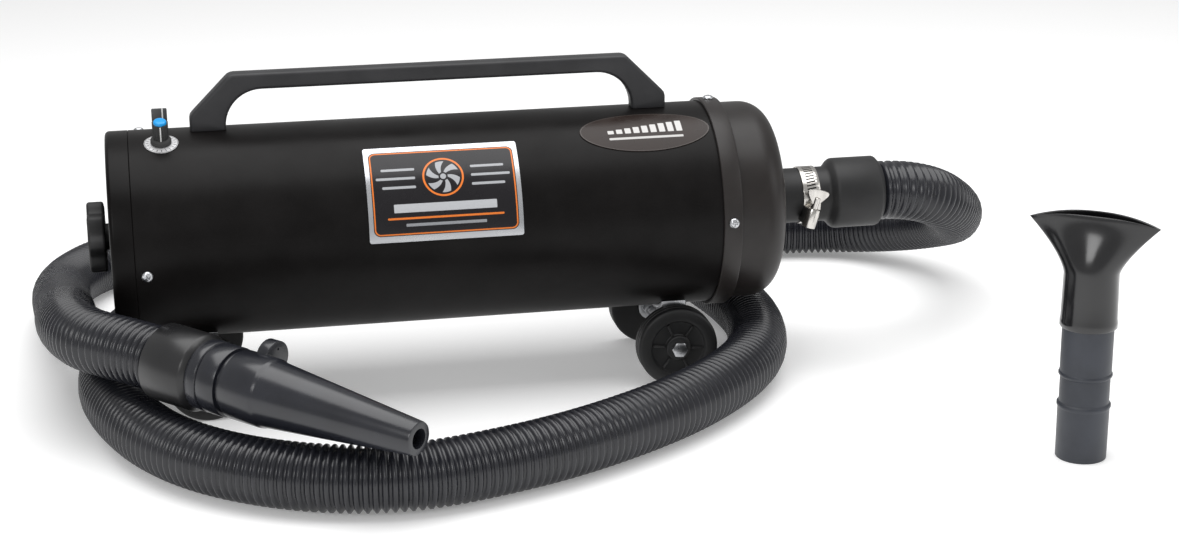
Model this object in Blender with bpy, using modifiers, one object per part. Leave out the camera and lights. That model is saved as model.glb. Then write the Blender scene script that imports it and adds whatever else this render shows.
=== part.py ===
"""Canister pet dryer: a steel drum on four wheels with two blower stages, a carry handle,
a corrugated hose that ends in a cone nozzle, and a loose fishtail nozzle on its adapter.

Run with: blender --background --python part.py
Units are metres, +Z is up and +X runs from the air intake to the air outlet.
"""
import math

import bmesh
import bpy
import numpy as np
from mathutils import Matrix, Vector

# ---- driving sizes -------------------------------------------------------------------
GAP = 0.0003              # clearance between pieces that touch
DRUM_R = 0.095            # 190 mm drum
AXIS_Z = 0.1575           # height of the drum's axis over the floor
WALL = 0.0015             # steel of the drum
DRUM_STEPS = 32
SHELL_LEFT = -0.273
SHELL_RIGHT = 0.268
CAP_LEFT = -0.2936        # outer face of the intake cap
RING_LEFT = 0.2532        # edge of the outlet dome's skirt
RING_RIGHT = 0.2706
RING_R = 0.098
DOME_END = 0.3208         # the dome's flat round the spigot
WHEEL_R = 0.0375
WHEEL_HALF = 0.01015      # half the tread's width
WHEEL_X = 0.2165          # wheels stand at plus and minus this
WHEEL_Y = 0.0633
FLANGE_Y = 0.048          # inner face of a bracket's flange
STRAP = 0.0025            # bracket steel
STRAP_WIDE = 0.023
BOLT_R = 0.004
HEX_AF = 0.013
HANDLE_TOP = 0.303
HANDLE_WIDE = 0.018
HANDLE_FOOT_X = 0.202
CONTROL_X = -0.2442       # both knobs
SPEED_ANGLE = 72.5        # degrees round the drum, from the front upwards
SWITCH_ANGLE = 107.5
CAP_SCREW_X = -0.2635
RING_SCREW_X = 0.2620
SPIGOT_R = 0.022
SLEEVE_R = 0.026
CUFF_R = 0.0335
HOSE_R = 0.0285
CUFF_END = 0.429
CLAMP_X = 0.3567
WORM_Y = -0.0395          # the clamp's screw stands far enough out for its key to turn
WORM_TILT = 17.0
NOZZLE_START = Vector((-0.2558, -0.1610, 0.0920))
NOZZLE_AXIS = Vector((0.718, -0.693, -0.055)).normalized()
ADAPTER_XY = (0.515, -0.314)
FLARE_YAW = -36.0
FLARE_BASE = 0.118
FLARE_TIP = 0.2085        # height of the fishtail's two corners
MOTOR_FACES = (-0.150, 0.050)
# The part's origin is under the middle of everything but the hose and its nozzle.
ORIGIN_SHIFT = (-0.1227, 0.1174, 0.0)

# Route of the hose's centreline: out of the outlet cuff, round and down behind the drum,
# once round the machine on the floor, then up on itself to the nozzle's cuff.
HOSE_ROUTE = [
    (0.4298, 0.000, 0.1573), (0.4378, 0.0002, 0.1572), (0.452, 0.0018, 0.1558), (0.470, 0.007, 0.1515),
    (0.491, 0.0185, 0.143),
    (0.514, 0.042, 0.128), (0.535, 0.075, 0.110), (0.550, 0.113, 0.094), (0.560, 0.150, 0.080), (0.560, 0.188, 0.066),
    (0.550, 0.224, 0.053), (0.531, 0.258, 0.042), (0.502, 0.288, 0.034), (0.462, 0.308, 0.030),
    (0.400, 0.318, 0.0288), (0.320, 0.320, 0.0288), (0.230, 0.311, 0.0288), (0.140, 0.294, 0.0288),
    (0.050, 0.275, 0.0288), (-0.050, 0.252, 0.0288), (-0.150, 0.222, 0.0288), (-0.232, 0.178, 0.0288),
    (-0.278, 0.120, 0.0288), (-0.296, 0.058, 0.0288), (-0.303, -0.003, 0.0288),
    (-0.303, -0.055, 0.0288), (-0.294, -0.105, 0.0288), (-0.272, -0.167, 0.0288),
    (-0.236, -0.225, 0.0288), (-0.185, -0.271, 0.0288), (-0.125, -0.301, 0.0288),
    (-0.060, -0.310, 0.0288), (0.005, -0.296, 0.0288), (0.070, -0.271, 0.0288),
    (0.135, -0.235, 0.0288), (0.196, -0.191, 0.0288), (0.248, -0.139, 0.0288),
    (0.285, -0.084, 0.0288), (0.304, -0.028, 0.0288), (0.311, 0.022, 0.0288), (0.310, 0.062, 0.0293),
    (0.304, 0.102, 0.0311), (0.285, 0.152, 0.039), (0.248, 0.212, 0.062), (0.200, 0.268, 0.086),
    (0.145, 0.312, 0.086), (0.085, 0.345, 0.063), (0.020, 0.368, 0.038), (-0.060, 0.384, 0.0289),
    (-0.140, 0.392, 0.0288), (-0.213, 0.389, 0.0288), (-0.274, 0.370, 0.0288),
    (-0.318, 0.334, 0.0290), (-0.343, 0.283, 0.031), (-0.351, 0.225, 0.038), (-0.350, 0.165, 0.049),
    (-0.346, 0.105, 0.060), (-0.342, 0.051, 0.071), (-0.339, -0.002, 0.081), (-0.332, -0.053, 0.0890),
    (-0.315, -0.100, 0.0933), (-0.2890, -0.1300, 0.0940), (-0.2630, -0.1541, 0.0926),
    (-0.2561, -0.1607, 0.0920),
]
HOSE_POINTS = 78
HOSE_LEAD = 0.008         # the hose enters both cuffs straight for this far

COLOURS = {
    "black_steel": ((0.012, 0.011, 0.011), 0.42, 0.3),
    "dome_black": ((0.020, 0.017, 0.016), 0.42, 0.2),
    "handle_plastic": ((0.030, 0.030, 0.032), 0.55, 0.0),
    "zinc": ((0.62, 0.63, 0.66), 0.28, 1.0),
    "stainless": ((0.66, 0.63, 0.56), 0.25, 1.0),
    "black_rubber": ((0.018, 0.018, 0.019), 0.60, 0.0),
    "hose_plastic": ((0.035, 0.036, 0.040), 0.32, 0.0),
    "nozzle_plastic": ((0.030, 0.032, 0.037), 0.30, 0.0),
    "blue_plastic": ((0.0, 0.33, 0.70), 0.35, 0.0),
    "grey_plastic": ((0.16, 0.17, 0.18), 0.45, 0.0),
    "label_face": ((0.55, 0.55, 0.57), 0.35, 0.4),
    "badge_face": ((0.06, 0.045, 0.04), 0.20, 0.0),
    "filter_foam": ((0.10, 0.10, 0.11), 0.95, 0.0),
    "board_green": ((0.02, 0.16, 0.07), 0.50, 0.0),
    "motor_steel": ((0.45, 0.46, 0.48), 0.38, 1.0),
    "fan_aluminium": ((0.75, 0.76, 0.78), 0.32, 1.0),
}


# ---- scene and helpers ---------------------------------------------------------------
def clear_scene():
    for obj in list(bpy.data.objects):
        bpy.data.objects.remove(obj, do_unlink=True)


def new_collection(name):
    collection = bpy.data.collections.new(name)
    bpy.context.scene.collection.children.link(collection)
    return collection


def material(name):
    found = bpy.data.materials.get(name)
    if found:
        return found
    colour, roughness, metallic = COLOURS[name]
    mat = bpy.data.materials.new(name)
    mat.use_nodes = True
    shader = mat.node_tree.nodes["Principled BSDF"]
    shader.inputs["Base Color"].default_value = (*colour, 1.0)
    shader.inputs["Roughness"].default_value = roughness
    shader.inputs["Metallic"].default_value = metallic
    return mat


def add_object(name, data, place=None, parent=None):
    """Put new data in the scene as a part, at a matrix in its parent's space."""
    obj = bpy.data.objects.new(name, data)
    PARTS.objects.link(obj)
    obj.parent = parent or ORIGIN
    if place is not None:
        obj.matrix_basis = place
    return obj


def finish(obj, mat_name, smooth=30.0):
    obj.data.materials.clear()
    obj.data.materials.append(material(mat_name))
    obj.data.shade_smooth()
    obj.data.set_sharp_from_angle(angle=math.radians(smooth))
    return obj


def joint_empty(name, point):
    """An empty on a joint's axis, which the moving pieces hang from."""
    empty = bpy.data.objects.new(name, None)
    bpy.context.scene.collection.objects.link(empty)
    empty.parent = ORIGIN
    empty.location = point
    return empty


def along(point, direction, turn=0.0):
    """A matrix whose local +Z lies along the direction, at the point."""
    rotation = Vector(direction).to_track_quat("Z", "Y").to_matrix().to_4x4()
    return Matrix.Translation(Vector(point)) @ rotation @ Matrix.Rotation(turn, 4, "Z")


def lathe_x(x=0.0, z=AXIS_Z):
    """Local +Z becomes +X and local +X points down, on the drum's axis."""
    return Matrix.Translation((x, 0, z)) @ Matrix.Rotation(math.pi / 2, 4, "Y")


def round_drum(angle_deg, radius, x):
    """The point at this angle and radius round the drum, with the outward direction."""
    a = math.radians(angle_deg)
    out = Vector((0.0, -math.cos(a), math.sin(a)))
    return Vector((x, 0.0, AXIS_Z)) + out * radius, out


def turned_data(name, profile, steps, ring):
    """Screw data: a profile of (radius, height), running down its outer side."""
    mesh = bpy.data.meshes.new(name)
    count = len(profile)
    edges = [(i, i + 1) for i in range(count - 1)]
    if ring:
        edges.append((count - 1, 0))
    mesh.from_pydata([(r, 0.0, h) for r, h in profile], edges, [])
    return mesh


def turned(name, mat_name, profile, steps, place, ring=False, parent=None):
    obj = add_object(name, turned_data(name, profile, steps, ring), place, parent)
    screw = obj.modifiers.new("turn", "SCREW")
    screw.steps = steps
    screw.render_steps = steps
    screw.use_merge_vertices = True
    screw.merge_threshold = 0.00002
    screw.use_smooth_shade = True
    apply_modifiers(obj)
    return finish(obj, mat_name)


def apply_modifiers(obj):
    """Swap the object's mesh for its evaluated one, so later cuts start from a plain mesh."""
    graph = bpy.context.evaluated_depsgraph_get()
    graph.update()
    mesh = bpy.data.meshes.new_from_object(obj.evaluated_get(graph))
    obj.modifiers.clear()
    obj.data = mesh


def flat_plate(name, mat_name, outline, thick, place, parent=None, bevel=0.0):
    """A closed plate from an outline in local XY, centred on local Z = 0."""
    curve = bpy.data.curves.new(name, "CURVE")
    curve.dimensions = "2D"
    curve.fill_mode = "BOTH"
    curve.extrude = thick / 2
    spline = curve.splines.new("POLY")
    spline.points.add(len(outline) - 1)
    for point, (x, y) in zip(spline.points, outline):
        point.co = (x, y, 0.0, 1.0)
    spline.use_cyclic_u = True
    obj = curve_to_mesh(name, curve, place, parent)
    if bevel:
        edge = obj.modifiers.new("edges", "BEVEL")
        edge.width = bevel
        edge.segments = 2
        edge.limit_method = "ANGLE"
        edge.angle_limit = math.radians(50)
        apply_modifiers(obj)
    return finish(obj, mat_name)


def curve_to_mesh(name, curve, place, parent):
    """Turn curve data into a welded mesh object and drop the curve."""
    holder = add_object(name + "_curve", curve, place, parent)
    graph = bpy.context.evaluated_depsgraph_get()
    graph.update()
    mesh = bpy.data.meshes.new_from_object(holder.evaluated_get(graph))
    bpy.data.objects.remove(holder, do_unlink=True)
    work = bmesh.new()
    work.from_mesh(mesh)
    bmesh.ops.remove_doubles(work, verts=work.verts, dist=0.00001)
    bmesh.ops.recalc_face_normals(work, faces=work.faces)
    work.to_mesh(mesh)
    work.free()
    return add_object(name, mesh, place, parent)


def box(name, mat_name, size, place, parent=None):
    mesh = bpy.data.meshes.new(name)
    work = bmesh.new()
    bmesh.ops.create_cube(work, size=1.0)
    bmesh.ops.scale(work, vec=size, verts=work.verts)
    work.to_mesh(mesh)
    work.free()
    return finish(add_object(name, mesh, place, parent), mat_name)


def rod(name, mat_name, radius, length, sides, place, parent=None):
    """A cylinder from local Z = 0 up to its length."""
    mesh = bpy.data.meshes.new(name)
    work = bmesh.new()
    bmesh.ops.create_cone(work, cap_ends=True, segments=sides, radius1=radius,
                          radius2=radius, depth=length)
    bmesh.ops.translate(work, vec=(0, 0, length / 2), verts=work.verts)
    work.to_mesh(mesh)
    work.free()
    return finish(add_object(name, mesh, place, parent), mat_name)


def combine(obj, tool, operation):
    """Boolean the tool into the object and apply it; a cutter stays as a hidden guide."""
    step = obj.modifiers.new(operation.lower(), "BOOLEAN")
    step.operation = operation
    step.object = tool
    step.solver = "EXACT"
    names = [slot.name for slot in obj.data.materials]
    apply_modifiers(obj)
    bpy.data.objects.remove(tool, do_unlink=True)
    obj.data.materials.clear()
    obj.data.materials.append(material(names[0]))
    obj.data.shade_smooth()
    obj.data.set_sharp_from_angle(angle=math.radians(30))
    return obj


def cut(obj, tool):
    return combine(obj, tool, "DIFFERENCE")


def join(obj, tool):
    return combine(obj, tool, "UNION")


def cutter_rod(radius, length, sides, place, parent=None):
    tool = rod("cutter", "zinc", radius, length, sides, place, parent)
    PARTS.objects.unlink(tool)
    CUTTERS.objects.link(tool)
    tool.hide_render = True
    tool.display_type = "WIRE"
    return tool


def arc(cx, cy, radius, start, end, steps):
    """Points round an arc in degrees, both ends in."""
    angles = np.radians(np.linspace(start, end, steps + 1))
    return [(cx + radius * math.cos(a), cy + radius * math.sin(a)) for a in angles]


def rounded_rectangle(wide, high, radius, steps):
    x = wide / 2 - radius
    y = high / 2 - radius
    corners = ((x, y, 0), (-x, y, 90), (-x, -y, 180), (x, -y, 270))
    points = []
    for cx, cy, start in corners:
        points += arc(cx, cy, radius, start, start + 90, steps)
    return points


def smooth_line(route, count):
    """A natural cubic spline through the route, read at even distances."""
    points = np.array(route)
    knots = np.concatenate(([0.0], np.cumsum(np.linalg.norm(np.diff(points, axis=0), axis=1) ** 0.5)))
    step = np.diff(knots)
    size = len(points)
    matrix = np.eye(size)
    right = np.zeros_like(points)
    for i in range(1, size - 1):
        matrix[i, i - 1:i + 2] = (step[i - 1], 2 * (step[i - 1] + step[i]), step[i])
        slope_after = (points[i + 1] - points[i]) / step[i]
        slope_before = (points[i] - points[i - 1]) / step[i - 1]
        right[i] = 6 * (slope_after - slope_before)
    bend = np.linalg.solve(matrix, right)
    fine = np.linspace(0.0, knots[-1], 4000)
    seg = np.clip(np.searchsorted(knots, fine, side="right") - 1, 0, size - 2)
    h = step[seg][:, None]
    a = (knots[seg + 1] - fine)[:, None] / h
    b = 1.0 - a
    line = a * points[seg] + b * points[seg + 1]
    line += ((a ** 3 - a) * bend[seg] + (b ** 3 - b) * bend[seg + 1]) * h ** 2 / 6
    run = np.concatenate(([0.0], np.cumsum(np.linalg.norm(np.diff(line, axis=0), axis=1))))
    even = np.concatenate(([0.0], np.linspace(HOSE_LEAD, run[-1] - HOSE_LEAD, count - 2), [run[-1]]))
    return [tuple(float(np.interp(d, run, line[:, k])) for k in range(3)) for d in even]


# ---- drum ----------------------------------------------------------------------------
def drum_band(name, mat_name, left, right, inner, outer):
    profile = [(inner, right), (outer, right), (outer, left), (inner, left)]
    return turned(name, mat_name, profile, DRUM_STEPS, lathe_x(), ring=True)


def radial_hole(obj, x, angle, radius, sides=8):
    point, out = round_drum(angle, 0.080, x)
    return cut(obj, cutter_rod(radius, 0.030, sides, along(point, out)))


def make_drum_shell():
    shell = drum_band("drum_shell", "black_steel", SHELL_LEFT, SHELL_RIGHT, DRUM_R - WALL, DRUM_R)
    for angle in CAP_SCREW_ANGLES:
        radial_hole(shell, CAP_SCREW_X, angle, SCREW_HOLE)
    for angle in RING_SCREW_ANGLES:
        radial_hole(shell, RING_SCREW_X, angle, SCREW_HOLE)
    for angle in (SPEED_ANGLE, SWITCH_ANGLE):
        radial_hole(shell, CONTROL_X, angle, SHAFT_HOLE)
    for side in (-1, 1):
        radial_hole(shell, side * HANDLE_FOOT_X, 90.0, SCREW_HOLE)
        radial_hole(shell, side * WHEEL_X, -90.0, SCREW_HOLE)
    return radial_hole(shell, GLAND_X, GLAND_ANGLE, GLAND_HOLE, sides=16)


def make_intake_cap():
    lip = DRUM_R - WALL - GAP
    wall = 0.0022
    face = CAP_LEFT
    profile = [
        (0.0, face + wall), (DRUM_R - 0.004, face + wall), (lip - wall, face + 0.006),
        (lip - wall, -0.256), (lip, -0.256), (lip, SHELL_LEFT - GAP), (DRUM_R, SHELL_LEFT - GAP),
        (DRUM_R, face + 0.004), (DRUM_R - 0.0012, face + 0.0012), (DRUM_R - 0.004, face), (0.0, face),
    ]
    cap = turned("intake_end_cap", "black_steel", profile, DRUM_STEPS, lathe_x())
    for angle in CAP_SCREW_ANGLES:
        radial_hole(cap, CAP_SCREW_X, angle, SCREW_HOLE)
    for index in range(VENT_SLOTS):
        turn = math.tau * (index + 0.5) / VENT_SLOTS
        middle = Vector((face, 0.064 * math.cos(turn), AXIS_Z + 0.064 * math.sin(turn)))
        place = Matrix.Translation(middle) @ Matrix.Rotation(turn, 4, "X")
        cut(cap, box("cutter", "zinc", (0.012, 0.030, 0.010), place))
    return cut(cap, cutter_rod(STUD_R + GAP, 0.02, 12, along((face - 0.01, 0, AXIS_Z), (1, 0, 0))))


def make_outlet_dome():
    skin = 0.0025
    lap = DRUM_R + GAP
    outside = [(RING_R, RING_LEFT), (RING_R, RING_RIGHT - 0.001), (RING_R - 0.001, RING_RIGHT),
               (0.0925, RING_RIGHT + 0.0008)]
    outside += arc(0.0695, 0.2945, 0.0210, 0, 70, 4)
    outside += [(0.050, 0.3180), (SPIGOT_R + 0.006, DOME_END), (SPIGOT_R + GAP, DOME_END)]
    inside = [(SPIGOT_R + GAP, DOME_END - skin), (0.050, 0.3180 - skin), (0.0790, 0.3050),
              (0.0885, 0.2880), (0.0890, SHELL_RIGHT + 0.002), (lap, SHELL_RIGHT + GAP),
              (lap, RING_LEFT)]
    profile = (outside + inside)[::-1]
    dome = turned("outlet_end_dome", "dome_black", profile, DRUM_STEPS, lathe_x(), ring=True)
    for angle in RING_SCREW_ANGLES:
        radial_hole(dome, RING_SCREW_X, angle, SCREW_HOLE)
    return dome


def make_screw(name, x, angle, surface):
    """A pan-head screw on the drum; the shank stays inside its hole."""
    head = [(0.0, 0.0030), (0.0028, 0.0026), (0.0045, 0.0014), (0.0050, 0.0)]
    shank = [(SHANK_R, 0.0), (SHANK_R, -0.0075), (0.0, -0.0090)]
    point, out = round_drum(angle, surface + GAP, x)
    return turned(name, "zinc", head + shank, 8, along(point, out))


def make_drum_screws():
    for index, angle in enumerate(CAP_SCREW_ANGLES, 1):
        make_screw("cap_screw_%d" % index, CAP_SCREW_X, angle, DRUM_R)
    for index, angle in enumerate(RING_SCREW_ANGLES, 1):
        make_screw("dome_screw_%d" % index, RING_SCREW_X, angle, RING_R)


def curved_plate(name, mat_name, outline, x, angle, thick, turn=0.0):
    """A plate that hugs the drum: a thin ring kept only inside the outline."""
    inner = DRUM_R + GAP
    ring = drum_band(name, mat_name, x - 0.08, x + 0.08, inner, inner + thick)
    point, out = round_drum(angle, DRUM_R, x)
    across = Vector((1, 0, 0))
    basis = Matrix((across, out.cross(across), out)).transposed().to_4x4()
    place = Matrix.Translation(point) @ basis @ Matrix.Rotation(turn, 4, "Z")
    prism = flat_plate("cutter", mat_name, outline, 0.060, place)
    return combine(ring, prism, "INTERSECT")


def make_plates():
    main = rounded_rectangle(LABEL_WIDE, LABEL_HIGH, 0.002, 2)
    curved_plate("label_plate", "label_face", main, 0.0, LABEL_ANGLE, 0.0005)
    oval = [(0.0605 * math.cos(t), 0.0247 * math.sin(t)) for t in np.linspace(0, math.tau, 33)[:-1]]
    curved_plate("power_badge", "badge_face", oval, 0.190, 61.0, 0.0005)
    disc = arc(0, 0, 0.015, 0, 345, 23)
    dial = curved_plate("speed_dial_plate", "label_face", disc, CONTROL_X, SPEED_ANGLE, 0.0006)
    radial_hole(dial, CONTROL_X, SPEED_ANGLE, SHAFT_HOLE)


# ---- handle and its screws -----------------------------------------------------------
def handle_outline():
    half = [(0.218, 0.245), (0.218, 0.2640), (0.2150, 0.2685), (0.1835, 0.3005), (0.1790, HANDLE_TOP)]
    hollow = arc(0.153, 0.255, 0.033, 90, 0, 6)
    inner = [(0.186, 0.245)] + hollow[::-1]
    right = half[::-1] + []
    left_outer = [(-x, z) for x, z in half]
    left_inner = [(-x, z) for x, z in inner]
    return left_outer + right[:1] + right[1:] + inner + left_inner[::-1]


def make_handle():
    place = Matrix.Rotation(math.pi / 2, 4, "X")
    handle = flat_plate("carry_handle", "handle_plastic", handle_outline(), HANDLE_WIDE, place,
                        bevel=0.0030)
    drum = cutter_rod(DRUM_R + GAP, 0.5, DRUM_STEPS, Matrix.Translation((-0.25, 0, 0)) @ lathe_x())
    cut(handle, drum)
    for side, word in ((-1, "left"), (1, "right")):
        foot = Vector((side * HANDLE_FOOT_X, 0, AXIS_Z + DRUM_R - 0.01))
        cut(handle, cutter_rod(0.0027, 0.026, 10, along(foot, (0, 0, 1))))
        head = Vector((side * HANDLE_FOOT_X, 0, AXIS_Z + DRUM_R - WALL - 3 * GAP))
        profile = [(0.0, 0.014), (SHANK_R, 0.014), (SHANK_R, 0.0), (0.0050, 0.0), (0.0050, -0.0030),
                   (0.0, -0.0035)]
        turned("handle_screw_" + word, "zinc", profile, 10, along(head, (0, 0, 1)))


# ---- wheels and brackets -------------------------------------------------------------
def bracket_outline():
    """Section across the drum: a saddle under it and a flange down each side."""
    top_r = DRUM_R + GAP + 0.0002
    low_r = top_r + STRAP
    out_y = FLANGE_Y + STRAP
    top = math.degrees(math.asin(out_y / top_r))
    low = math.degrees(math.asin(FLANGE_Y / low_r))
    foot = WHEEL_R - 0.012
    over = arc(0, AXIS_Z, top_r, 270 - top, 270 + top, 10)
    under = arc(0, AXIS_Z, low_r, 270 + low, 270 - low, 10)
    return over + [(out_y, foot), (FLANGE_Y, foot)] + under + [(-FLANGE_Y, foot), (-out_y, foot)]


def make_bracket(name, x):
    place = Matrix.Translation((x, 0, 0)) @ Matrix.Rotation(math.pi / 2, 4, "Z")
    place = place @ Matrix.Rotation(math.pi / 2, 4, "X")
    bracket = flat_plate(name, "zinc", bracket_outline(), STRAP_WIDE, place)
    half = STRAP_WIDE / 2
    tab = arc(0, WHEEL_R, half - 0.0001, 180, 360, 8) + [(half + 0.001, 0.09), (-half - 0.001, 0.09)]
    side_view = Matrix.Translation((x, 0, 0)) @ Matrix.Rotation(math.pi / 2, 4, "X")
    combine(bracket, flat_plate("cutter", "zinc", tab, 0.14, side_view), "INTERSECT")
    cut(bracket, cutter_rod(BOLT_R + GAP, 0.14, 12, along((x, -0.07, WHEEL_R), (0, 1, 0))))
    return cut(bracket, cutter_rod(SCREW_HOLE, 0.02, 8, along((x, 0, 0.05), (0, 0, 1))))


def make_wheel(name, x, y):
    half = WHEEL_HALF
    bore = BOLT_R + GAP
    profile = [
        (bore, half + 0.0012), (0.0115, half + 0.0012), (0.0115, half - 0.0035), (0.0250, half - 0.0035),
        (0.0275, half), (0.0345, half), (WHEEL_R, half - 0.003), (WHEEL_R, -half + 0.003),
        (0.0345, -half), (bore, -half),
    ]
    axle = joint_empty(name + "_axle", (x, y, WHEEL_R))
    out = 1 if y > 0 else -1
    place = Matrix.Rotation(-out * math.pi / 2, 4, "X") @ Matrix.Rotation(-out * math.pi / 2, 4, "Z")
    return turned(name, "black_rubber", profile, WHEEL_STEPS, place, ring=True, parent=axle)


def hexagon(across_flats):
    radius = across_flats / 2 / math.cos(math.pi / 6)
    return arc(0, 0, radius, 0, 300, 5)


def make_axle_bolt(name, x, side):
    head_in = WHEEL_Y + WHEEL_HALF + 0.0012 + GAP
    head_thick = 0.0050
    place = along((x, side * (head_in + head_thick / 2), WHEEL_R), (0, side, 0))
    bolt = flat_plate(name, "zinc", hexagon(HEX_AF), head_thick, place)
    shank = head_in + head_thick / 2 - 0.0400
    inward = along((x, side * 0.0400, WHEEL_R), (0, side, 0))
    return join(bolt, rod("cutter", "zinc", BOLT_R, shank, 12, inward))


def make_lock_nut(name, x, side):
    thick = 0.0058
    middle = FLANGE_Y - GAP - thick / 2
    nut = flat_plate(name, "zinc", hexagon(HEX_AF), thick, along((x, side * middle, WHEEL_R), (0, side, 0)))
    hole = along((x, side * 0.03, WHEEL_R), (0, side, 0))
    return cut(nut, cutter_rod(BOLT_R + GAP, 0.03, 12, hole))


def make_running_gear():
    for x, end in ((-WHEEL_X, "left"), (WHEEL_X, "right")):
        make_bracket("wheel_bracket_" + end, x)
        low = along((x, 0, AXIS_Z - DRUM_R - STRAP - 0.0010), (0, 0, 1))
        profile = [(0.0, 0.010), (SHANK_R, 0.010), (SHANK_R, 0.0), (0.0050, 0.0), (0.0042, -0.0028), (0.0, -0.0034)]
        turned("bracket_screw_" + end, "zinc", profile, 10, low)
        for side, face in ((-1, "front"), (1, "rear")):
            tail = "%s_%s" % (face, end)
            make_wheel("wheel_" + tail, x, side * WHEEL_Y)
            make_axle_bolt("axle_bolt_" + tail, x, side)
            make_lock_nut("lock_nut_" + tail, x, side)


# ---- controls ------------------------------------------------------------------------
def make_speed_control():
    point, out = round_drum(SPEED_ANGLE, DRUM_R + GAP + 0.0006 + GAP, CONTROL_X)
    pivot = joint_empty("speed_knob_axis", point)
    place = along((0, 0, 0), out)
    top = 0.0195
    knob = [(0.0, top), (0.0058, top), (0.0066, top - 0.001), (0.0069, 0.0042), (0.0090, 0.0034),
            (0.0092, 0.0), (0.0033, 0.0), (0.0033, 0.012), (0.0, 0.012)]
    turned("speed_knob", "black_rubber", knob, 16, place, parent=pivot)
    cap = [(0.0, top + 0.0031), (0.0050, top + 0.0030), (0.0058, top + 0.0020), (0.0058, top + GAP),
           (0.0, top + GAP)]
    turned("speed_knob_cap", "blue_plastic", cap, 16, place, parent=pivot)
    shaft = [(0.0, 0.0115), (0.0030, 0.0115), (0.0030, -0.0040), (0.0, -0.0040)]
    turned("speed_shaft", "zinc", shaft, 12, place, parent=pivot)
    body_point, out = round_drum(SPEED_ANGLE, 0.0815, CONTROL_X)
    body = [(0.0, 0.0085), (0.0080, 0.0085), (0.0080, 0.0), (0.0, 0.0)]
    turned("speed_control_body", "motor_steel", body, 16, along(body_point, out))


def make_switch():
    point, out = round_drum(SWITCH_ANGLE, DRUM_R + 2 * GAP, CONTROL_X)
    pivot = joint_empty("switch_knob_axis", point)
    place = along((0, 0, 0), out)
    knob = [(0.0, 0.0070), (0.0066, 0.0068), (0.0073, 0.0060), (0.0073, 0.0), (0.0033, 0.0),
            (0.0033, 0.0060), (0.0, 0.0060)]
    knob = turned("switch_knob", "grey_plastic", knob, 16, place, parent=pivot)
    grip = place @ Matrix.Translation((0, 0, 0.0118))
    join(knob, box("cutter", "grey_plastic", (0.0140, 0.0056, 0.0120), grip, pivot))
    shaft = [(0.0, 0.0050), (0.0030, 0.0050), (0.0030, -0.0040), (0.0, -0.0040)]
    turned("switch_shaft", "zinc", shaft, 12, place, parent=pivot)
    body_point, out = round_drum(SWITCH_ANGLE, 0.0790, CONTROL_X)
    box("rotary_switch_body", "grey_plastic", (0.018, 0.014, 0.0110),
        along(body_point, out) @ Matrix.Translation((0, 0, 0.0053)))


def make_cord_gland():
    point, out = round_drum(GLAND_ANGLE, DRUM_R + GAP + 0.0002, GLAND_X)
    profile = [(0.0042, 0.016), (0.0060, 0.016), (0.0085, 0.004), (0.0110, 0.003), (0.0110, 0.0),
               (GLAND_HOLE - GAP, 0.0), (GLAND_HOLE - GAP, -0.006), (0.0042, -0.006)]
    turned("cord_gland", "black_rubber", profile, 16, along(point, out), ring=True)


# ---- intake side ---------------------------------------------------------------------
def make_filter_knob():
    """An eight-lobed hand knob that clamps the filter through the cap."""
    axis = joint_empty("filter_knob_axis", (CAP_LEFT, 0, AXIS_Z))
    outline = []
    for t in np.linspace(0, math.tau, 41)[:-1]:
        radius = 0.0302 + 0.0028 * math.cos(8 * t)
        outline.append((radius * math.cos(t), radius * math.sin(t)))
    place = along((-0.0127, 0, 0), (-1, 0, 0))
    knob = flat_plate("filter_knob", "black_rubber", outline, 0.0155, place, parent=axis, bevel=0.0022)
    boss = along((-0.0080, 0, 0), (1, 0, 0))
    join(knob, rod("cutter", "black_rubber", 0.012, 0.0080 - GAP, 16, boss, axis))
    cut(knob, cutter_rod(STUD_R + GAP, 0.0155, 12, along((-0.0150, 0, 0), (1, 0, 0)), axis))
    return knob


def make_filter_stud():
    """Stud from inside the knob through cap and filter, with a wide washer head behind."""
    left = CAP_LEFT - 0.0145
    profile = [(0.0, -0.2505), (0.016, -0.2505), (0.016, -0.2530), (STUD_R, -0.2530), (STUD_R, left), (0.0, left)]
    return turned("filter_stud", "zinc", profile, 12, lathe_x())


def make_intake_filter():
    profile = [(STUD_R + 0.001, -0.2535), (0.0835, -0.2535), (0.0835, -0.2700),
               (STUD_R + 0.001, -0.2700)]
    return turned("intake_filter", "filter_foam", profile, 24, lathe_x(), ring=True)


# ---- blower stages -------------------------------------------------------------------
def make_blower_stage(number, face):
    """One bulkhead with its fan on the intake side and its motor on the outlet side."""
    seat = DRUM_R - WALL - 2 * GAP
    plate = [(0.030, face + 0.003), (seat, face + 0.003), (seat, face), (0.030, face)]
    turned("motor_bulkhead_%d" % number, "motor_steel", plate, DRUM_STEPS, lathe_x(), ring=True)
    start = face + 0.003 + GAP
    case = [(0.0058, start + 0.085), (0.030, start + 0.085), (0.034, start + 0.070), (0.046, start + 0.066),
            (0.046, start), (0.0058, start)]
    turned("motor_%d" % number, "motor_steel", case, 24, lathe_x(), ring=True)
    rotor_x = face - 0.028
    axis = joint_empty("fan_axis_%d" % number, (rotor_x, 0, AXIS_Z))
    shaft = 0.0052
    rotor = [
        (0.0, 0.120), (shaft, 0.120), (shaft, 0.022), (0.064, 0.020), (0.064, 0.006), (0.024, 0.0),
        (0.012, 0.0), (0.012, 0.004), (0.0, 0.004),
    ]
    turned("fan_rotor_%d" % number, "fan_aluminium", rotor, 24, Matrix.Rotation(math.pi / 2, 4, "Y"),
           parent=axis)


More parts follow.
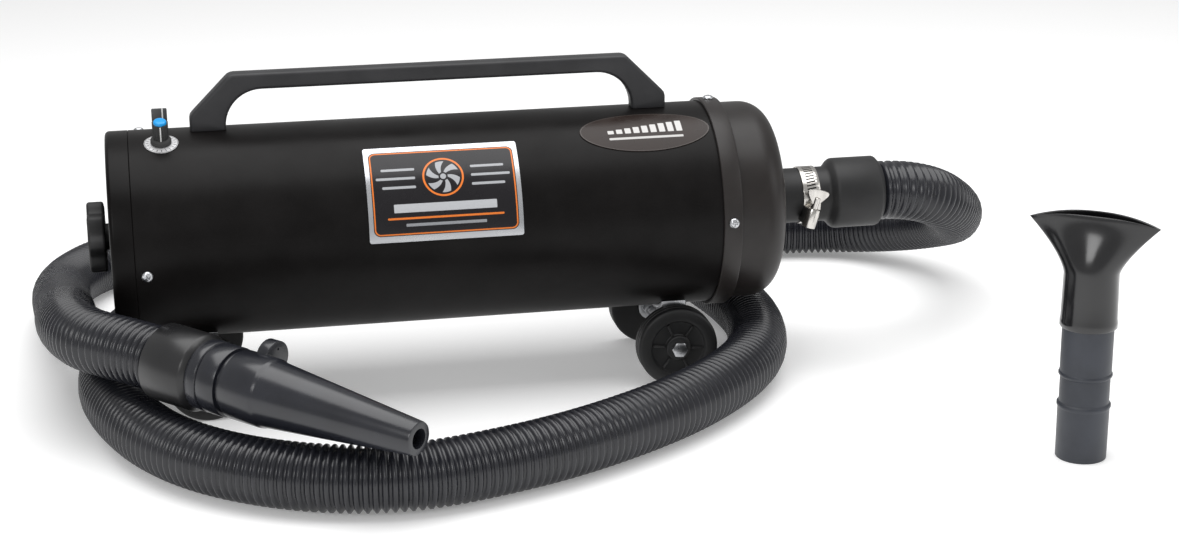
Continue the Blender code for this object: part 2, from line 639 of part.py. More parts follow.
def make_control_board():
    board = box("control_board", "board_green", (0.050, 0.040, 0.0016), Matrix.Translation((-0.200, 0, 0.2320)))
    chip = box("cutter", "board_green", (0.024, 0.014, 0.010), Matrix.Translation((-0.200, 0, 0.2265)))
    return join(board, chip)


# ---- outlet, clamp and hose ----------------------------------------------------------
def make_spigot():
    back = 0.3150
    profile = [
        (SPIGOT_R - 0.002, 0.352), (SPIGOT_R, 0.352), (SPIGOT_R, back), (0.032, back),
        (0.032, back - 0.003), (SPIGOT_R - 0.002, back - 0.003),
    ]
    return turned("outlet_spigot", "dome_black", profile, 24, lathe_x(), ring=True)


def make_outlet_cuff():
    bore = SPIGOT_R + GAP
    profile = [
        (bore, CUFF_END), (HOSE_R + 0.0005, CUFF_END), (CUFF_R, CUFF_END - 0.0045), (CUFF_R, 0.3830),
        (CUFF_R - 0.0025, 0.3790), (SLEEVE_R + 0.0005, 0.3765), (SLEEVE_R, 0.3740), (SLEEVE_R, 0.3235),
        (bore, 0.3235),
    ]
    return turned("outlet_hose_cuff", "black_rubber", profile, 24, lathe_x(), ring=True)


def make_clamp():
    half = 0.0083
    inner = SLEEVE_R + GAP
    profile = [(inner, CLAMP_X + half), (inner + 0.001, CLAMP_X + half), (inner + 0.001, CLAMP_X - half),
               (inner, CLAMP_X - half)]
    band = turned("hose_clamp_band", "stainless", profile, 32, lathe_x(), ring=True)
    tilt = Matrix.Rotation(math.radians(WORM_TILT), 4, "Y")
    low = Matrix.Translation((CLAMP_X - 0.005, WORM_Y, AXIS_Z - 0.0118)) @ tilt
    house = rod("cutter", "stainless", 0.0066, 0.018, 14, low @ Matrix.Translation((0, 0, -0.009)))
    saddle = box("cutter_saddle", "stainless", (0.0110, 0.0190, 0.0150), low @ Matrix.Translation((0, 0.0083, 0)))
    join(house, saddle)
    join(band, house)
    cut(band, cutter_rod(inner, 0.04, 32, Matrix.Translation((CLAMP_X - 0.02, 0, 0)) @ lathe_x()))
    bore = low @ Matrix.Translation((0, 0, -0.006))
    cut(band, cutter_rod(0.0037, 0.04, 12, bore))
    axis = joint_empty("clamp_screw_axis", low.to_translation())
    axis.rotation_euler = (0.0, math.radians(WORM_TILT), 0.0)
    profile = [(0.0, 0.0200), (0.0033, 0.0200), (0.0033, -0.0055), (0.0, -0.0055)]
    screw = turned("clamp_screw", "stainless", profile, 12, Matrix.Identity(4), parent=axis)
    wing = [(0.0030, 0.0130), (0.0123, 0.0230), (0.0127, 0.0252), (0.0110, 0.0268), (0.0, 0.0280)]
    outline = wing + [(-x, z) for x, z in wing[::-1][1:]]
    upright = Matrix.Rotation(math.radians(20), 4, "Z") @ Matrix.Rotation(math.pi / 2, 4, "X")
    return join(screw, flat_plate("cutter", "stainless", outline, 0.0018, upright, parent=axis))


def make_hose():
    line = smooth_line(HOSE_ROUTE, HOSE_POINTS)
    curve = bpy.data.curves.new("hose", "CURVE")
    curve.dimensions = "3D"
    curve.bevel_depth = HOSE_R
    curve.bevel_resolution = 2
    curve.use_fill_caps = True
    spline = curve.splines.new("POLY")
    spline.points.add(len(line) - 1)
    for point, place in zip(spline.points, line):
        point.co = (*place, 1.0)
    hose = add_object("hose", curve)
    curve.materials.append(material("hose_plastic"))
    return hose


# ---- nozzle on the hose --------------------------------------------------------------
def nozzle_place(distance=0.0):
    return along(NOZZLE_START + NOZZLE_AXIS * distance, NOZZLE_AXIS)


def make_nozzle_cuff():
    bore = 0.0240
    profile = [
        (bore, 0.0520), (0.0295, 0.0520), (CUFF_R, 0.0470), (CUFF_R, 0.0050), (HOSE_R + 0.0005, 0.0008),
        (bore, 0.0008),
    ]
    return turned("nozzle_hose_cuff", "black_rubber", profile, 24, nozzle_place(), ring=True)


def make_coupler():
    """Threaded coupler: two bands, a groove and a spigot that the cone slides on."""
    bore = 0.0190
    profile = [
        (bore, 0.1150), (0.0215, 0.1150), (0.0220, 0.0880), (0.0270, 0.0875), (0.0270, 0.0835),
        (0.0300, 0.0830), (0.0302, 0.0650), (0.0292, 0.0643), (0.0292, 0.0633), (0.0305, 0.0625),
        (0.0305, 0.0525), (0.0235, 0.0523), (0.0235, 0.0350), (bore, 0.0350),
    ]
    return turned("nozzle_coupler", "nozzle_plastic", profile, 24, nozzle_place(), ring=True)


def make_cone_nozzle():
    base = 0.0880
    tip = 0.2730
    profile = [
        (0.0085, tip), (0.0143, tip), (0.0285, 0.1240), (0.0296, 0.1215), (0.0297, 0.1195),
        (0.0297, base + 0.001), (0.0290, base), (0.0223, base), (0.0223, 0.1165), (0.0200, 0.1200),
        (0.0085, 0.2500),
    ]
    cone = turned("cone_nozzle", "nozzle_plastic", profile, 24, nozzle_place(), ring=True)
    sideways = Vector((0, 0, 1)).cross(NOZZLE_AXIS).normalized()
    upwards = NOZZLE_AXIS.cross(sideways)
    if upwards.z < 0:
        upwards = -upwards
    centre = NOZZLE_START + NOZZLE_AXIS * (base + 0.0160) + sideways * 0.0215 + upwards * 0.0215
    ear = arc(0, 0, 0.0150, 0, 345, 23)
    lug = flat_plate("cutter", "nozzle_plastic", ear, 0.0110, along(centre, NOZZLE_AXIS))
    cut(lug, cutter_rod(0.0235, 0.04, 24, nozzle_place(base - 0.01)))
    join(cone, lug)
    for shift_side, shift_up in ((0.0015, 0.0080), (-0.0025, 0.0)):
        hole = centre + sideways * shift_side + upwards * shift_up - NOZZLE_AXIS * 0.02
        cut(cone, cutter_rod(0.0011, 0.04, 6, along(hole, NOZZLE_AXIS)))
    return cone


# ---- loose accessory -----------------------------------------------------------------
def make_adapter_tube():
    bore = 0.0185
    profile = [
        (bore, 0.1350), (0.0205, 0.1350), (0.0208, 0.1195), (0.02185, 0.1192), (0.02185, 0.0775),
        (0.0227, 0.0768), (0.0227, 0.0745), (0.02125, 0.0735), (0.02125, 0.0505), (0.02285, 0.0495),
        (0.02285, 0.0465), (0.02205, 0.0455), (0.02155, 0.0), (bore, 0.0),
    ]
    place = Matrix.Translation((*ADAPTER_XY, 0))
    return turned("adapter_tube", "nozzle_plastic", profile, 24, place, ring=True)


def flare_section(level):
    """One ring of the fishtail, as half length, half depth and squareness at a level of 0 to 1."""
    ease = level * level * (3 - 2 * level)
    wide = level ** 1.35
    half_long = 0.0232 + (0.0550 - 0.0232) * wide
    half_deep = 0.0232 + (0.0100 - 0.0232) * ease
    return half_long, half_deep


def flare_ring(level, height, arch, inset):
    half_long, half_deep = flare_section(level)
    points = []
    for index in range(FLARE_SIDES):
        t = math.tau * index / FLARE_SIDES
        along_x = math.cos(t)
        pinch = 1.0 - 0.55 * level * abs(along_x) ** 1.6
        x = (half_long - inset) * math.copysign(abs(along_x) ** (1.0 - 0.15 * level), along_x)
        y = (half_deep * pinch - inset) * math.sin(t)
        lift = arch * (1.0 - along_x * along_x)
        points.append((x, y, height + lift))
    return points


def make_flare_nozzle():
    """Fishtail mouth lofted from a round socket; faces are built by hand between its rings."""
    neck = 0.165
    rings = [[(0.0243 * math.cos(t), 0.0243 * math.sin(t), FLARE_BASE) for t in FLARE_TURNS]]
    rings.append([(0.0240 * math.cos(t), 0.0240 * math.sin(t), FLARE_BASE + 0.008) for t in FLARE_TURNS])
    for level in FLARE_LEVELS:
        rings.append(flare_ring(level, neck + (FLARE_TIP - neck) * level, 0.0075 * level, 0.0))
    for level in FLARE_LEVELS[::-1]:
        rings.append(flare_ring(level, neck + (FLARE_TIP - neck) * level, 0.0075 * level, 0.0022))
    rings.append([(0.0212 * math.cos(t), 0.0212 * math.sin(t), FLARE_BASE + 0.0180) for t in FLARE_TURNS])
    rings.append([(0.0212 * math.cos(t), 0.0212 * math.sin(t), FLARE_BASE + 0.0020) for t in FLARE_TURNS])
    work = bmesh.new()
    loops = [[work.verts.new(point) for point in ring] for ring in rings]
    for lower, upper in zip(loops, loops[1:] + loops[:1]):
        for i in range(FLARE_SIDES):
            j = (i + 1) % FLARE_SIDES
            work.faces.new((lower[i], lower[j], upper[j], upper[i]))
    bmesh.ops.recalc_face_normals(work, faces=work.faces)
    mesh = bpy.data.meshes.new("flare_nozzle")
    work.to_mesh(mesh)
    work.free()
    place = Matrix.Translation((*ADAPTER_XY, 0)) @ Matrix.Rotation(math.radians(FLARE_YAW), 4, "Z")
    return finish(add_object("flare_nozzle", mesh, place), "nozzle_plastic")


# ---- sizes worked out from the ones above ----------------------------------------------
CAP_SCREW_ANGLES = (-6.8, 113.2, 233.2)
RING_SCREW_ANGLES = (2.9, 92.9, 182.9, 272.9)
SHANK_R = 0.0019
SCREW_HOLE = SHANK_R + 0.0006
SHAFT_HOLE = 0.0045
STUD_R = 0.0030
VENT_SLOTS = 10
WHEEL_STEPS = 20
GLAND_X = -0.225
GLAND_ANGLE = 184.0
GLAND_HOLE = 0.0060
LABEL_WIDE = 0.138
LABEL_HIGH = 0.0873
LABEL_ANGLE = 30.7
FLARE_SIDES = 24
FLARE_TURNS = [math.tau * i / FLARE_SIDES for i in range(FLARE_SIDES)]
FLARE_LEVELS = [0.0, 0.25, 0.5, 0.75, 1.0]


def main():
    make_drum_shell()
    make_intake_cap()
    make_outlet_dome()
    make_drum_screws()
    make_plates()
    make_handle()
    make_running_gear()
    make_speed_control()
    make_switch()
    make_cord_gland()
    make_filter_knob()
    make_filter_stud()
    make_intake_filter()
    for number, face in enumerate(MOTOR_FACES, 1):
        make_blower_stage(number, face)
    make_control_board()
    make_spigot()
    make_outlet_cuff()
    make_clamp()
    make_hose()
    make_nozzle_cuff()
    make_coupler()
    make_cone_nozzle()
    make_adapter_tube()
    make_flare_nozzle()


clear_scene()
PARTS = new_collection("pet_dryer")
CUTTERS = new_collection("pet_dryer_cutters")
ORIGIN = bpy.data.objects.new("pet_dryer_origin", None)
bpy.context.scene.collection.objects.link(ORIGIN)
ORIGIN.location = ORIGIN_SHIFT
main()
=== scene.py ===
"""Detailed look of a canister pet dryer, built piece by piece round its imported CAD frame.

Units are metres. The frame's +X runs from the air intake to the air outlet, +Y is the
machine's rear and +Z is up. Angles round the drum count from its front upwards.
"""
import math

import bpy
import numpy as np
from bpy.props import BoolProperty, FloatProperty, FloatVectorProperty, IntProperty, PointerProperty
from mathutils import Matrix, Vector


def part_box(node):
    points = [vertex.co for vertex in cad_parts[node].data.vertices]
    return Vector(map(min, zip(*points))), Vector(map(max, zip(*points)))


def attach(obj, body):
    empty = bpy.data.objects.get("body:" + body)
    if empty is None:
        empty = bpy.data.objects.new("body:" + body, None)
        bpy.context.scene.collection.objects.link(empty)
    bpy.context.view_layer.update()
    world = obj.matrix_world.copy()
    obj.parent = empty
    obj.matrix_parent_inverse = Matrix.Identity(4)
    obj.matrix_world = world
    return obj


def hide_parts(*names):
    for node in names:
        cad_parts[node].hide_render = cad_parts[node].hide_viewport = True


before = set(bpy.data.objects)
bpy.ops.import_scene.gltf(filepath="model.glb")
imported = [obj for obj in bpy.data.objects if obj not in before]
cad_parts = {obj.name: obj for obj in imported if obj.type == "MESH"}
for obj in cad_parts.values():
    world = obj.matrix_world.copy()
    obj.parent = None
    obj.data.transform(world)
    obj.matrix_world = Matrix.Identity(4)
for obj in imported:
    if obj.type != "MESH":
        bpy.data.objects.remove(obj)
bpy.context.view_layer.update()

bl_info = {
    "name": "Pet Dryer Builder",
    "version": (1, 0, 0),
    "blender": (4, 5, 0),
    "location": "View3D > Sidebar > Dryer",
    "description": "Builds the pieces, materials and stage of a canister pet dryer",
    "category": "Object",
}

SHELL_LOW, SHELL_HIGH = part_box("drum_shell")
BASE = Vector((SHELL_HIGH.x - 0.268, (SHELL_LOW.y + SHELL_HIGH.y) / 2, 0.0))
AXIS_Z = 0.1575
CONTROL_X = -0.2442
WHEEL_X, WHEEL_TRACK = 0.2165, 0.0633
LABEL_ANGLE, BADGE_X, BADGE_ANGLE = 30.7, 0.190, 61.0
SPEED_ANGLE, SWITCH_ANGLE = 72.5, 107.5
FILTER_KNOB_X = -0.3063
TINY = 8e-6             # radius of a closed tip
EDGE_BLUR = 0.00012     # soft rim of a printed edge
PRINT_DEPTH = 0.00004   # relief of a printed plate
NOZZLE_START = BASE + Vector((-0.2558, -0.1610, 0.0920))
NOZZLE_AXIS = Vector((0.718, -0.693, -0.055)).normalized()
TUBE_BASE = BASE + Vector((0.515, -0.314, 0.0))

# Finish names, each listed with a material slot name; only the finish names are read.
SLOTS = {
    "steel": "black_steel", "dome": "dome_black", "zinc": "zinc", "handle": "handle_plastic",
    "wheel": "wheel_black", "knob": "knob_black", "blue": "blue_plastic", "white": "blue_plastic",
    "grey": "grey_plastic", "rubber": "black_rubber", "stainless": "stainless", "hose": "hose_plastic",
    "cuff": "black_rubber", "nozzle": "nozzle_plastic", "tube": "nozzle_plastic", "flare": "nozzle_plastic",
}

shift = Matrix.Translation

# The hose's centreline, in metres from the point under the drum's middle.
HOSE_ROUTE = [
    (0.4298, 0.000, 0.1573), (0.4378, 0.0002, 0.1572), (0.452, 0.0018, 0.1558), (0.470, 0.007, 0.1515),
    (0.491, 0.0185, 0.143),
    (0.514, 0.042, 0.128), (0.535, 0.075, 0.110), (0.550, 0.113, 0.094), (0.560, 0.150, 0.080), (0.560, 0.188, 0.066),
    (0.550, 0.224, 0.053), (0.531, 0.258, 0.042), (0.502, 0.288, 0.034), (0.462, 0.308, 0.030),
    (0.400, 0.318, 0.0288), (0.320, 0.320, 0.0288), (0.230, 0.311, 0.0288), (0.140, 0.294, 0.0288),
    (0.050, 0.275, 0.0288), (-0.050, 0.252, 0.0288), (-0.150, 0.222, 0.0288), (-0.232, 0.178, 0.0288),
    (-0.278, 0.120, 0.0288), (-0.296, 0.058, 0.0288), (-0.303, -0.003, 0.0288),
    (-0.303, -0.055, 0.0288), (-0.294, -0.105, 0.0288), (-0.272, -0.167, 0.0288),
    (-0.236, -0.225, 0.0288), (-0.185, -0.271, 0.0288), (-0.125, -0.301, 0.0288),
    (-0.060, -0.310, 0.0288), (0.005, -0.296, 0.0288), (0.070, -0.271, 0.0288),
    (0.135, -0.235, 0.0288), (0.196, -0.191, 0.0288), (0.248, -0.139, 0.0288),
    (0.285, -0.084, 0.0288), (0.304, -0.028, 0.0288), (0.311, 0.022, 0.0288), (0.310, 0.062, 0.0293),
    (0.304, 0.102, 0.0311), (0.285, 0.152, 0.039), (0.248, 0.212, 0.062), (0.200, 0.268, 0.086),
    (0.145, 0.312, 0.086), (0.085, 0.345, 0.063), (0.020, 0.368, 0.038), (-0.060, 0.384, 0.0289),
    (-0.140, 0.392, 0.0288), (-0.213, 0.389, 0.0288), (-0.274, 0.370, 0.0288),
    (-0.318, 0.334, 0.0290), (-0.343, 0.283, 0.031), (-0.351, 0.225, 0.038), (-0.350, 0.165, 0.049),
    (-0.346, 0.105, 0.060), (-0.342, 0.051, 0.071), (-0.339, -0.002, 0.081), (-0.332, -0.053, 0.0890),
    (-0.315, -0.100, 0.0933), (-0.2890, -0.1300, 0.0940), (-0.2630, -0.1541, 0.0926),
    (-0.2561, -0.1607, 0.0920),
]


# ---- properties ----
class DryerSizes(bpy.types.PropertyGroup):
    """Sizes of the machine's own pieces."""
    drum_radius: FloatProperty(name="Drum radius", description="Outside radius of the steel drum",
                               default=0.095, unit="LENGTH")
    ring_radius: FloatProperty(name="Outlet ring radius", description="Outside radius of the outlet dome's skirt",
                               default=0.098, unit="LENGTH")
    handle_height: FloatProperty(name="Handle height", description="Height of the handle's flat top",
                                 default=0.303, unit="LENGTH")
    handle_depth: FloatProperty(name="Handle depth", description="Front to back size of the handle bar",
                                default=0.018, unit="LENGTH")
    wheel_radius: FloatProperty(name="Wheel radius", description="Outside radius of each wheel",
                                default=0.0375, unit="LENGTH")
    sides: IntProperty(name="Sides", description="Steps round a turned piece", default=96)


class HoseSizes(bpy.types.PropertyGroup):
    """Sizes of the corrugated hose."""
    diameter: FloatProperty(name="Diameter", description="Outside diameter over the ridges",
                            default=0.057, unit="LENGTH")
    valley_radius: FloatProperty(name="Valley radius", description="Radius between two ridges",
                                 default=0.0244, unit="LENGTH")
    pitch: FloatProperty(name="Pitch", description="Distance from ridge to ridge", default=0.0070, unit="LENGTH")
    sides: IntProperty(name="Sides", description="Steps round the hose", default=26)


class DryerColours(bpy.types.PropertyGroup):
    """Base colours of the finishes."""
    steel: FloatVectorProperty(name="Drum paint", description="Powder coat of the drum", subtype="COLOR",
                               default=(0.0026, 0.0020, 0.0020))
    handle: FloatVectorProperty(name="Handle", description="Moulded handle plastic", subtype="COLOR",
                                default=(0.020, 0.020, 0.022))
    hose: FloatVectorProperty(name="Hose", description="Hose plastic", subtype="COLOR",
                              default=(0.0115, 0.0122, 0.0165))
    nozzle: FloatVectorProperty(name="Nozzle", description="Nozzle plastic", subtype="COLOR",
                                default=(0.0115, 0.0125, 0.0175))
    accent: FloatVectorProperty(name="Accent", description="Cap of the speed knob", subtype="COLOR",
                                default=(0.0, 0.30, 0.72))


class StageSettings(bpy.types.PropertyGroup):
    """Camera and light."""
    lens: FloatProperty(name="Lens", description="Focal length in millimetres", default=69.46)
    azimuth: FloatProperty(name="Azimuth", description="Direction the camera looks in", subtype="ANGLE",
                           default=math.radians(-10.98))
    elevation: FloatProperty(name="Elevation", description="How far the camera looks down", subtype="ANGLE",
                             default=math.radians(17.6))
    roll: FloatProperty(name="Roll", description="Turn about the line of sight", subtype="ANGLE",
                        default=math.radians(-0.44))
    key_power: FloatProperty(name="Key power", description="Power of the overhead softbox", default=46.0)
    fill_power: FloatProperty(name="Fill power", description="Power of the front softbox", default=14.0)
    world: FloatProperty(name="Sky", description="Strength of the even surround light", default=0.46)
    show_floor: BoolProperty(name="Floor", description="Lay the pale floor", default=True)


# ---- helpers ----
def leave():
    bpy.ops.object.mode_set(mode="OBJECT")


def edit():
    bpy.ops.object.mode_set(mode="EDIT")
    bpy.ops.mesh.select_all(action="SELECT")


def deselect():
    if bpy.context.object and bpy.context.object.mode != "OBJECT":
        leave()
    bpy.ops.object.select_all(action="DESELECT")


def pick(obj):
    deselect()
    obj.select_set(True)
    bpy.context.view_layer.objects.active = obj
    return obj


def named(name):
    """Name the primitive that was just added."""
    bpy.context.object.name = name
    return bpy.context.object


def pull(x, y, z):
    """Extrude what is selected by a move."""
    bpy.ops.mesh.extrude_region_move(TRANSFORM_OT_translate={"value": (x, y, z)})


def clean(threshold):
    """Merge doubled vertices and turn every face outwards."""
    bpy.ops.mesh.select_all(action="SELECT")
    bpy.ops.mesh.remove_doubles(threshold=threshold)
    bpy.ops.mesh.normals_make_consistent(inside=False)


def mm(*pairs):
    """Pairs given in millimetres, in metres."""
    return [(first / 1000, second / 1000) for first, second in pairs]


def settle(obj, place):
    """Move a new piece to its place and write the move into its mesh."""
    pick(obj)
    obj.matrix_world = place
    bpy.ops.object.transform_apply(location=True, rotation=True, scale=True)
    return obj


def spin(degrees, axis="Z"):
    return Matrix.Rotation(math.radians(degrees), 4, axis)


def spot(x, y=0.0, z=AXIS_Z):
    """A point by its distance along the drum, on the drum's axis unless it says otherwise."""
    return BASE + Vector((x, y, z))


def along(point, direction):
    """Place whose own Z runs along a direction."""
    z = Vector(direction).normalized()
    guide = Vector((0, 0, 1))
    if abs(z.dot(guide)) > 0.98:
        guide = Vector((1, 0, 0))
    x = guide.cross(z).normalized()
    basis = Matrix((x, z.cross(x), z)).transposed().to_4x4()
    return shift(point) @ basis


def axial(x=0.0):
    """Place on the drum's axis: own Z is the frame's +X."""
    return shift(spot(x)) @ spin(90, "Y")


def on_drum(angle, radius, x):
    """Place on the drum's skin: own Z points outwards and own X is the frame's +X."""
    turn = math.radians(angle)
    out = Vector((0, -math.cos(turn), math.sin(turn)))
    across = Vector((1, 0, 0))
    basis = Matrix((across, out.cross(across), out)).transposed().to_4x4()
    return shift(spot(x) + out * radius) @ basis


def circle(name, sides, radius):
    """An open ring, left in edit mode with all of it selected."""
    deselect()
    bpy.ops.mesh.primitive_circle_add(vertices=sides, radius=radius, fill_type="NOTHING", location=(0, 0, 0))
    obj = named(name)
    edit()
    return obj


def turned(name, profile, sides, place, ring=False):
    """A turned piece: one circle drawn through the (radius, height) points of its profile."""
    points = [(max(r, TINY), z) for r, z in profile]
    if ring:
        points.append(points[0])
    obj = circle(name, sides, points[0][0])
    bpy.ops.transform.translate(value=(0, 0, points[0][1]))
    for (r0, z0), (r1, z1) in zip(points, points[1:]):
        pull(0, 0, z1 - z0)
        if r1 != r0:
            bpy.ops.transform.resize(value=(r1 / r0, r1 / r0, 1), center_override=(0, 0, z1))
    clean(3e-5)
    leave()
    return settle(obj, place)


def shaped(obj, place, bevel, segments):
    settle(obj, place)
    return soften(obj, bevel, segments) if bevel else obj


def prism(name, outline, thick, place, bevel=0.0, segments=3):
    """A flat outline drawn point by point, filled and pulled to a thickness about its middle."""
    deselect()
    bpy.ops.mesh.primitive_plane_add(size=0.001, location=(0, 0, 0))
    obj = named(name)
    edit()
    bpy.ops.mesh.merge(type="CENTER")
    bpy.ops.transform.translate(value=(outline[0][0], outline[0][1], -thick / 2))
    for (x0, y0), (x1, y1) in zip(outline, list(outline[1:]) + [outline[0]]):
        pull(x1 - x0, y1 - y0, 0)
    bpy.ops.mesh.select_all(action="SELECT")
    bpy.ops.mesh.remove_doubles(threshold=1e-6)
    bpy.ops.mesh.select_all(action="SELECT")
    bpy.ops.mesh.edge_face_add()
    pull(0, 0, thick)
    bpy.ops.mesh.select_all(action="SELECT")
    bpy.ops.mesh.normals_make_consistent(inside=False)
    leave()
    return shaped(obj, place, bevel, segments)


def block(name, size, place, bevel=0.0, segments=3):
    deselect()
    bpy.ops.mesh.primitive_cube_add(size=1.0, location=(0, 0, 0))
    obj = named(name)
    edit()
    bpy.ops.transform.resize(value=size)
    leave()
    return shaped(obj, place, bevel, segments)


def rod(name, radius, length, sides, place, bevel=0.0):
    deselect()
    bpy.ops.mesh.primitive_cylinder_add(vertices=sides, radius=radius, depth=length, location=(0, 0, length / 2))
    obj = named(name)
    bpy.ops.object.transform_apply(location=True, rotation=True, scale=True)
    return shaped(obj, place, bevel, 3)


def apply_modifier(obj, kind, **settings):
    pick(obj)
    bpy.ops.object.modifier_add(type=kind)
    modifier = obj.modifiers[-1]
    for key, value in settings.items():
        setattr(modifier, key, value)
    bpy.ops.object.modifier_apply(modifier=modifier.name)
    return obj


def soften(obj, width, segments=3, angle=32.0):
    """Round every edge sharper than an angle."""
    return apply_modifier(obj, "BEVEL", width=width, segments=segments, limit_method="ANGLE",
                          angle_limit=math.radians(angle), use_clamp_overlap=True)


def combine(obj, other, operation="DIFFERENCE"):
    apply_modifier(obj, "BOOLEAN", operation=operation, object=other, solver="EXACT")
    bpy.data.objects.remove(other, do_unlink=True)
    return obj


def drill(obj, radius, length, sides, place):
    return combine(obj, rod("hole", radius, length, sides, place))


def merge(obj, *others):
    pick(obj)
    for other in others:
        other.select_set(True)
    bpy.ops.object.join()
    return obj


def smooth(obj, angle=35.0):
    pick(obj)
    bpy.ops.object.shade_smooth_by_angle(angle=math.radians(angle))
    return obj


def duplicate(obj, name, place):
    """A copy with its own mesh, moved by a matrix."""
    pick(obj)
    bpy.ops.object.duplicate(linked=False)
    return settle(named(name), place)


def refined(node, name, width):
    """A copy of a CAD node with merged vertices and rounded edges."""
    pick(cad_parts[node])
    bpy.ops.object.duplicate(linked=False)
    obj = named(name)
    obj.parent = None
    edit()
    bpy.ops.mesh.remove_doubles(threshold=1e-5)
    bpy.ops.mesh.dissolve_limited(angle_limit=math.radians(2.0))
    bpy.ops.mesh.normals_make_consistent(inside=False)
    leave()
    return smooth(soften(obj, width, 2, 30.0))


def mirrored(outline):
    """The same outline with its first coordinate turned about, in the same order."""
    return [(-x, z) for x, z in outline]


def arc(cx, cy, radius, start, end, count):
    turns = [math.radians(start + (end - start) * i / count) for i in range(count + 1)]
    return [(cx + radius * math.cos(turn), cy + radius * math.sin(turn)) for turn in turns]


def rounded_box(width, height, radius, count=5):
    w, h = width / 2 - radius, height / 2 - radius
    return (arc(w, h, radius, 0, 90, count) + arc(-w, h, radius, 90, 180, count)
            + arc(-w, -h, radius, 180, 270, count) + arc(w, -h, radius, 270, 360, count))


def done(obj, finish, *nodes, body="machine", slot=None, smoothing=35.0):
    """Give a finished piece its material and its body, and hide the CAD nodes it stands for."""
    if smoothing:
        smooth(obj, smoothing)
    obj.data.materials.clear()
    obj.data.materials.append(finishes()[finish] if finish in SLOTS else finish)
    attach(obj, body)
    if nodes:
        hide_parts(*nodes)
    return obj


# ---- materials ----
class Term:
    """A shader output that takes part in sums."""

    def __init__(self, graph, socket):
        self.graph, self.socket = graph, socket

    def __add__(self, other):
        return self.graph.math("ADD", self, other)

    def __sub__(self, other):
        return self.graph.math("SUBTRACT", self, other)

    def __rsub__(self, other):
        return self.graph.math("SUBTRACT", other, self)

    def __mul__(self, other):
        return self.graph.math("MULTIPLY", self, other)

    def spread(self, low, high, out_low=0.0, out_high=1.0):
        """Map one range to another and hold it there."""
        made = self.graph.node("ShaderNodeMapRange", clamp=True)
        keys = ("Value", "From Min", "From Max", "To Min", "To Max")
        for key, part in zip(keys, (self, low, high, out_low, out_high)):
            self.graph.put(made.inputs[key], part)
        return Term(self.graph, made.outputs[0])

    def inside(self, edge=0.0):
        """1 where a distance is below an edge, with a soft rim."""
        return self.spread(edge - EDGE_BLUR, edge + EDGE_BLUR, 1.0, 0.0)

    def band(self, outer, inner):
        """1 between two edges."""
        return self.inside(outer) * (1.0 - self.inside(inner))


class Graph:
    """A short way to write shader maths."""

    def __init__(self, name):
        self.material = bpy.data.materials.new(name)
        self.material.use_nodes = True
        self.tree = self.material.node_tree
        self.shader = self.tree.nodes["Principled BSDF"]
        self.coords = self.node("ShaderNodeTexCoord").outputs["Object"]

    def node(self, kind, **values):
        made = self.tree.nodes.new(kind)
        for key, value in values.items():
            setattr(made, key, value)
        return made

    def put(self, socket, value):
        value = getattr(value, "socket", value)
        if hasattr(value, "is_output"):
            self.tree.links.new(value, socket)
        else:
            socket.default_value = value

    def math(self, operation, *values):
        made = self.node("ShaderNodeMath", operation=operation)
        for socket, value in zip(made.inputs, values):
            self.put(socket, value)
        return Term(self, made.outputs[0])

    def noise(self, scale, detail=3.0, rough=0.5):
        made = self.node("ShaderNodeTexNoise")
        for key, value in (("Vector", self.coords), ("Scale", scale), ("Detail", detail), ("Roughness", rough)):
            self.put(made.inputs[key], value)
        return Term(self, made.outputs[0])

    def blend(self, factor, first, second):
        made = self.node("ShaderNodeMix", data_type="RGBA")
        for index, part in ((0, factor), (6, first), (7, second)):
            self.put(made.inputs[index], (*part, 1.0) if isinstance(part, tuple) else part)
        return Term(self, made.outputs[2])

    def surface(self, height, relief, depth, colour, **inputs):
        """Wire the shader's colour, its bump and its other inputs, whose names take _ for a space."""
        bump = self.node("ShaderNodeBump")
        for key, value in (("Strength", relief), ("Distance", depth), ("Height", height)):
            self.put(bump.inputs[key], value)
        self.put(self.shader.inputs["Normal"], bump.outputs[0])
        self.put(self.shader.inputs["Base Color"], colour)
        for key, value in inputs.items():
            self.put(self.shader.inputs[key.replace("_", " ")], value)
        return self.material

    def drum_coords(self, x, angle, radius):
        """Flat coordinates on the drum's skin, in metres from a plate's middle."""
        split = self.node("ShaderNodeSeparateXYZ")
        self.put(split.inputs[0], self.coords)
        along_x, back, up = (Term(self, output) for output in split.outputs)
        turn = self.math("ARCTAN2", up - AXIS_Z, BASE.y - back)
        return along_x - (BASE.x + x), (turn - math.radians(angle)) * radius

    def polar(self, u, v):
        return self.math("SQRT", u * u + v * v), self.math("ARCTAN2", v, u)

    def box(self, across, rise, cx, cy, half_wide, half_high, corner):
        """Signed distance to a rounded rectangle."""
        qx = self.math("ABSOLUTE", across - cx) - (half_wide - corner)
        qy = self.math("ABSOLUTE", rise - cy) - (half_high - corner)
        far = self.polar(self.math("MAXIMUM", qx, 0.0), self.math("MAXIMUM", qy, 0.0))[0]
        near = self.math("MINIMUM", self.math("MAXIMUM", qx, qy), 0.0)
        return far + near - corner

    def layers(self, colour, *masks):
        """Lay masked colours over a base, in order."""
        for mask, tint in masks:
            colour = self.blend(mask, colour, tint)
        return colour


